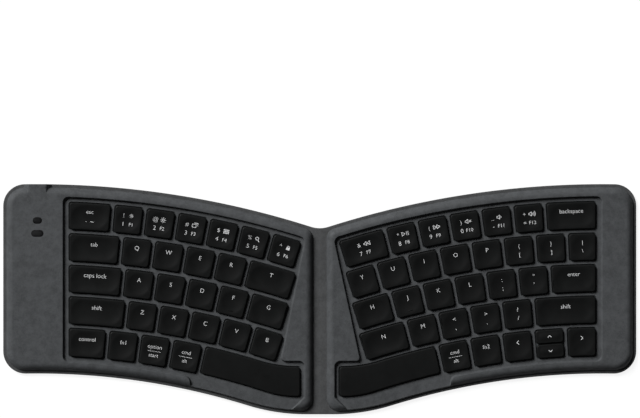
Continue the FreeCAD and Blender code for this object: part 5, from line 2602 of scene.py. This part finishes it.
LEGENDS: dict[str, tuple[Mark, ...]] = {
    "1": number_marks("!", Sign.SUN_SMALL, "1", "F1"),
    "2": number_marks("@", Sign.SUN_LARGE, "2", "F2"),
    "3": number_marks("#", Sign.PANES, "3", "F3"),
    "4": number_marks("$", Sign.GRID, "4", "F4"),
    "5": number_marks("%", Sign.GLASS, "5", "F5"),
    "6": number_marks("^", Sign.PADLOCK, "6", "F6"),
    "7": number_marks("&", Sign.REWIND, "7", "F7", 4.4),
    "8": number_marks("*", Sign.PLAY_PAUSE, "8", "F8", 4.4),
    "9": number_marks("(", Sign.FORWARD, "9", "F9", 4.4),
    "0": number_marks(")", Sign.MUTE, "0", "F10", 3.5),
    "minus": number_marks("_", Sign.QUIETER, "-", "F11", 3.5),
    "equals": number_marks("+", Sign.LOUDER, "=", "F12", 3.5),
    "esc": (Mark("esc", 0.0, 3.0, 2.3), Mark("`", -1.9, -3.9, 2.6), Mark("~", 1.6, -2.7, 2.6)),
    "tab": word_marks("tab"),
    "caps": word_marks("caps lock", 2.8, 2.45),
    "shift": word_marks("shift", height=2.4),
    "control": word_marks("control"),
    "enter": word_marks("enter", 2.8),
    "backspace": word_marks("backspace", 2.85, 2.35),
    "fn": word_marks("fn1"),
    "fn_two": word_marks("fn2"),
    "option": stacked_marks("option", "start"),
    "command": stacked_marks("cmd", "alt"),
    "bracket_open": pair_marks("{", "[", 2.1),
    "bracket_close": pair_marks("}", "]", 2.1),
    "slash_back": pair_marks("|", "\\", 2.1),
    "semicolon": pair_marks(":", ";"),
    "quote": pair_marks("\"", "'"),
    "comma": pair_marks("<", ","),
    "period": pair_marks(">", "."),
    "slash": pair_marks("?", "/"),
    "arrow_left": (Mark(Sign.POINT_LEFT, 0.0, 2.4, 2.6),),
    "arrow_right": (Mark(Sign.POINT_RIGHT, 0.0, 2.4, 2.6),),
    "arrow_up": (Mark(Sign.POINT_UP, 0.0, 0.0, 2.4),),
    "arrow_down": (Mark(Sign.POINT_DOWN, 0.0, 0.0, 2.4),),
    "space": (),
}


# Keycaps


@dataclass
class Keycap:
    """One cap: leaning sides, a rounded top edge, a dished top and its printed marks."""

    name: str
    side: Side
    layout: Layout
    outline: Callable[[float], Path]
    middle: Point
    angle: float
    dished: bool = True
    raised: bool = False
    corner: float = 1.75
    lean: float = 0.26
    edge: float = 0.4
    dish_margin: float = 1.55
    dish_depth: float = 0.56
    dish_corner: float = 6.6
    dish_reach: float = 6.0
    dish_soft: float = 0.35
    lid_margin: float = 0.35
    grid_step: float = 0.95
    ring_step: float = 2.0
    raised_drop: float = 0.15
    raised_share: float = 0.5
    crown: float = 0.1
    crown_reach: float = 8.0
    skirt: float = 0.45
    skirt_lean: float = 0.55
    bar_size: tuple[float, float, float] = (3.2, 0.5, 0.2)

    def ring(self, inset: float) -> Ring:
        """The cap's outline.

        Args:
            inset: How far inside the cap's skirt it lies.

        Returns:
            The outline's points.
        """
        counts = self.outline(self.layout.cap_gap).eased(self.corner).shares(self.ring_step)
        path = self.outline(self.layout.cap_gap + inset).eased(self.corner - 0.35 * inset)
        return path.ring(self.ring_step, counts)

    def axes(self) -> tuple[np.ndarray, np.ndarray]:
        """The key's right and up, seen from above.

        Returns:
            Both directions in world coordinates.
        """
        flip = self.side.value
        right = np.array([math.cos(self.angle), flip * math.sin(self.angle)])
        return right, np.array([-flip * math.sin(self.angle), math.cos(self.angle)])

    def to_key(self, points: np.ndarray) -> np.ndarray:
        """Half coordinates as distances across and up the key, seen from above.

        Args:
            points: The points.

        Returns:
            The two distances of each.
        """
        away = (points - np.array(self.middle)) * (self.side.value, 1)
        right, up = self.axes()
        return np.stack([away @ right, away @ up], axis=1)

    def from_key(self, points: np.ndarray) -> np.ndarray:
        """Distances across and up the key as half coordinates.

        Args:
            points: The two distances of each point.

        Returns:
            The points.
        """
        right, up = self.axes()
        world = points[:, :1] * right + points[:, 1:2] * up
        return np.array(self.middle) + world * (self.side.value, 1)

    def drop(self, points: np.ndarray) -> np.ndarray:
        """How far the top surface lies under the cap's highest level.

        Args:
            points: Places in half coordinates.

        Returns:
            The drop at each.
        """
        own = self.to_key(points)
        if not self.dished:
            return self.crown * np.clip(np.abs(own[:, 1]) / self.crown_reach, 0, 1.2) ** 2
        reach = np.abs(self.to_key(self.ring(self.lean + self.edge))).max(axis=0) - self.dish_margin + 0.5
        corner = min(self.dish_corner, float(reach.min()))
        away = np.abs(own) - (reach - corner)
        outside = np.linalg.norm(np.maximum(away, 0), axis=1) + np.minimum(away.max(axis=1), 0)
        depth = corner - outside
        soft = self.dish_soft
        depth = np.where(depth > soft, depth, np.where(depth < -soft, 0.0, (depth + soft) ** 2 / (4 * soft)))
        share = np.clip(depth / min(self.dish_reach, float(reach.min())), 0, 1)
        bowl = self.dish_depth * (1 - (1 - share) ** 2)
        return -self.raised_share * bowl if self.raised else bowl

    def marks(self, face: Typeface) -> list[Ring]:
        """The faces of the printed marks.

        Args:
            face: The letters to use.

        Returns:
            The faces in half coordinates.
        """
        found = []
        for mark in LEGENDS.get(self.name, word_marks(self.name.upper(), 2.75, 2.4)):
            if isinstance(mark.text, Sign):
                faces, middle = mark.text.strokes(), (0.0, 0.0)
            else:
                faces, left, right = face.cut(mark.text)
                middle = ((left + right) / 2, 0.5)
            found += [self.from_key((part - middle) * mark.height + (mark.across, mark.up)) for part in faces]
        return found

    def build(self, skin: Skin, face: Typeface) -> None:
        """Adds the cap to a skin, with its marks as the second finish.

        Args:
            skin: The piece so far.
            face: The letters to use.
        """
        layout = self.layout
        top = layout.cap_top - (self.raised_drop if self.raised else 0.0)
        steps = [(0.0, layout.cap_bottom), (self.lean * self.skirt_lean, layout.cap_bottom + self.skirt)]
        steps += [(self.lean + inward, top - down) for inward, down in quarter(self.edge)]
        rings = [self.ring(inset) for inset, _ in steps]
        placed = []
        for ring, (_, z) in zip(rings, steps):
            placed.append(skin.place(ring, z - self.drop(ring) * (z > layout.cap_bottom + 0.5)))
        for low, high in zip(placed, placed[1:]):
            skin.band(low, high)
        skin.face(placed[0])
        lid = rings[-1]
        faces = self.marks(face)
        low, high = lid.min(axis=0), lid.max(axis=0)
        across = np.arange(low[0], high[0], self.grid_step)
        along = np.arange(low[1], high[1], self.grid_step)
        grid = np.stack(np.meshgrid(across, along), axis=-1).reshape(-1, 2)
        grid = grid[depth_inside(grid, lid) > self.lid_margin]
        inner = self.ring(self.lean + self.edge + self.lid_margin)
        net = Net.between([lid, inner], loose=grid, faces=faces)
        net = net.kept(is_inside(net.middles, lid))
        numbers = np.array(skin.place(net.points, top - self.drop(net.points)))
        for triangle, drawn in zip(numbers[net.triangles], net.within(faces)):
            skin.face(triangle.tolist(), int(drawn))

    def homing_bar(self, skin: Skin) -> None:
        """Adds the small raised bar that a finger finds.

        Args:
            skin: The piece so far.
        """
        length, width, rise = self.bar_size
        steps = ((0.0, -0.25), (0.0, rise - 0.18), (0.06, rise - 0.06), (0.16, rise - 0.01))
        rings = []
        for inset, _ in steps:
            ring = stadium((0.0, -self.layout.homing_offset), length - 2 * inset, width - 2 * inset, 6)
            rings.append(self.from_key(ring))
        level = self.layout.cap_top - float(self.drop(rings[0]).mean())
        skin.tower(rings, [level + z for _, z in steps])


@dataclass
class Keys:
    """Every keycap of one half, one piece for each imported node."""

    side: Side
    layout: Layout
    face: Typeface

    def caps(self) -> dict[str, Keycap]:
        """Lays out the half's caps.

        Returns:
            Each cap by its key's name.
        """
        layout = self.layout
        found = {}
        for cell in layout.cap_cells(self.side):
            middle, angle = layout.cell_middle(cell)
            outline = functools.partial(layout.cell_outline, cell)
            raised = cell.name in ("arrow_up", "arrow_down")
            found[cell.name] = Keycap(cell.name, self.side, layout, outline, middle, angle, raised=raised)
        radius = layout.row_radius(5)
        reach = layout.fan_centre[0] - layout.space_end_x
        angle = (layout.space_start(self.side) / radius + math.asin(reach / radius)) / 2
        outline = functools.partial(layout.space_outline, self.side)
        middle = layout.fan_point(radius, angle)
        found["space"] = Keycap("space", self.side, layout, outline, middle, angle, dished=False)
        return found

    def node_of(self, name: str) -> str:
        """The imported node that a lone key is."""
        both = name in ("shift", "space")
        return f"key_{name}_{self.side.word}" if both else f"key_{name}"

    def build(self) -> list[bpy.types.Object]:
        """Makes every key piece of the half.

        Returns:
            The pieces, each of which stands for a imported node.
        """
        caps = self.caps()
        nodes = {node: [caps.pop(name) for name in names] for node, names in KEY_GROUPS[self.side].items()}
        nodes.update({self.node_of(name): [cap] for name, cap in caps.items()})
        pieces = []
        for node, group in nodes.items():
            skin = Skin(self.side)
            for cap in group:
                cap.build(skin, self.face)
                if cap.name in ("f", "j"):
                    cap.homing_bar(skin)
            piece = skin.piece(f"caps_{node}", [Finish.KEYCAP, Finish.INK], 40.0)
            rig.replaces(piece, node)
            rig.slot(piece, "keycap")
            pieces.append(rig.ride(piece, node))
        return pieces


# Inside parts and the studio


@dataclass
class InsideParts:
    """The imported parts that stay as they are, with their finishes."""

    frame: dict

    def dress(self) -> None:
        """Gives each carried-over part its material."""
        chosen = {
            "tray": Finish.TRAY, "key_plate": Finish.PLATE, "membrane": Finish.SILICONE,
            "scissor_links": Finish.LINK, "closing_magnets": Finish.MAGNET,
            "controller_board": Finish.BOARD, "battery": Finish.FOIL,
        }
        for name, node in self.frame["nodes"].items():
            for start, finish in chosen.items():
                if name.startswith(start):
                    for slot in node.material_slots:
                        slot.material = finish.material
                    LOG.info("%s: %s", name, finish.value.name)


@dataclass
class Studio:
    """A pale floor, a soft lamp in a dim dome of light and a camera straight above."""

    middle_x: float = 0.00016
    middle_y: float = 0.054
    view_width: float = 0.3826
    lens: float = 220.0
    sensor: float = 36.0
    level: float = 0.005
    floor_reach: float = 6.0
    floor_level: float = -0.0002
    floor_grey: float = 0.18
    floor_white: float = 0.88
    sky_power: float = 0.05
    lamp_place: tuple[float, float, float] = (-6.9, 6.9, 7.0)
    lamp_size: float = 5.4
    lamp_power: float = 1900.0

    def floor(self) -> None:
        """Lays the floor, white where the camera sees it, with the object's shadow kept."""
        material = bpy.data.materials.new("Pale floor")
        material.use_nodes = True
        graph = Graph(material.node_tree)
        shader = material.node_tree.nodes["Principled BSDF"]
        shader.inputs["Base Color"].default_value = (*[self.floor_grey] * 3, 1.0)
        shader.inputs["Roughness"].default_value = 0.9
        shader.inputs["Specular IOR Level"].default_value = 0.1
        shader.inputs["Emission Color"].default_value = (1.0, 1.0, 1.0, 1.0)
        rays = graph.node("ShaderNodeLightPath")
        seen = graph.math("MAXIMUM", rays.outputs["Is Camera Ray"], rays.outputs["Is Glossy Ray"])
        seen = graph.math("MAXIMUM", seen, rays.outputs["Is Transmission Ray"])
        white = graph.math("MULTIPLY", seen, self.floor_white)
        graph.tree.links.new(white, shader.inputs["Emission Strength"])
        mesh = bpy.data.meshes.new("floor")
        corners = [(x * self.floor_reach, y * self.floor_reach, self.floor_level)
                   for x, y in ((-1, -1), (1, -1), (1, 1), (-1, 1))]
        mesh.from_pydata(corners, [], [(0, 1, 2, 3)])
        mesh.materials.append(material)
        floor = bpy.data.objects.new("floor", mesh)
        bpy.context.scene.collection.objects.link(floor)
        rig.stage(floor)

    def lamp(self) -> None:
        """Hangs a soft round lamp that looks at the middle of the keyboard."""
        data = bpy.data.lights.new("key_lamp", "AREA")
        data.shape = "DISK"
        data.size = self.lamp_size
        data.energy = self.lamp_power
        lamp = bpy.data.objects.new("key_lamp", data)
        lamp.location = self.lamp_place
        lamp.rotation_mode = "QUATERNION"
        lamp.rotation_quaternion = (-Vector(self.lamp_place)).to_track_quat("-Z", "Y")
        bpy.context.scene.collection.objects.link(lamp)

    def sky(self) -> None:
        """Sets an even dome of light, white where the camera looks past the floor."""
        world = bpy.data.worlds.new("Studio")
        world.use_nodes = True
        graph = Graph(world.node_tree)
        background = world.node_tree.nodes["Background"]
        background.inputs["Color"].default_value = (1.0, 1.0, 1.0, 1.0)
        rays = graph.node("ShaderNodeLightPath")
        strength = graph.spread(rays.outputs["Is Camera Ray"], 0.0, 1.0, self.sky_power, 1.0)
        graph.tree.links.new(strength, background.inputs["Strength"])
        bpy.context.scene.world = world

    def camera(self) -> None:
        """Sets the camera straight above, at the photograph's framing."""
        data = bpy.data.cameras.new("camera")
        data.lens = self.lens
        data.sensor_width = self.sensor
        distance = self.view_width * self.lens / self.sensor
        data.clip_end = 50.0
        camera = bpy.data.objects.new("camera", data)
        camera.location = (self.middle_x, self.middle_y, self.level + distance)
        bpy.context.scene.collection.objects.link(camera)
        bpy.context.scene.camera = camera

    def build(self) -> None:
        """Sets up the whole studio."""
        self.floor()
        self.sky()
        self.lamp()
        self.camera()
        bpy.context.scene.view_settings.view_transform = "Standard"


def box_of(bounds: tuple[Vector, Vector]) -> list[list[float]]:
    """A box's two corners as plain numbers."""
    return [[round(c, 6) for c in corner] for corner in bounds]


def main() -> None:
    """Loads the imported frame, builds each sub-assembly around it and sets the scene."""
    logging.basicConfig(level=logging.INFO, format="%(message)s")
    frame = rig.load()
    packed = box_of(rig.bounds())
    layout = Layout()
    face = Typeface()
    cover = Cover(layout)
    made = []
    for side in Side:
        made += [Housing(side, layout).build(), cover.half(side), cover.fold(side)]
        made += [FlexCable(layout).half(side), Feet(side, layout).build()]
        made += Keys(side, layout, face).build()
    made += [IndicatorWindows(layout).build(), ChargingSocket(layout).build()]
    for piece in made:
        LOG.info("%s made", piece.name)
    InsideParts(frame).dress()
    Studio().build()
    with open(SIZE_FILE, "w") as file:
        json.dump({"cad": packed, "visual": box_of(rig.bounds())}, file)


if __name__ == "__main__":
    main()
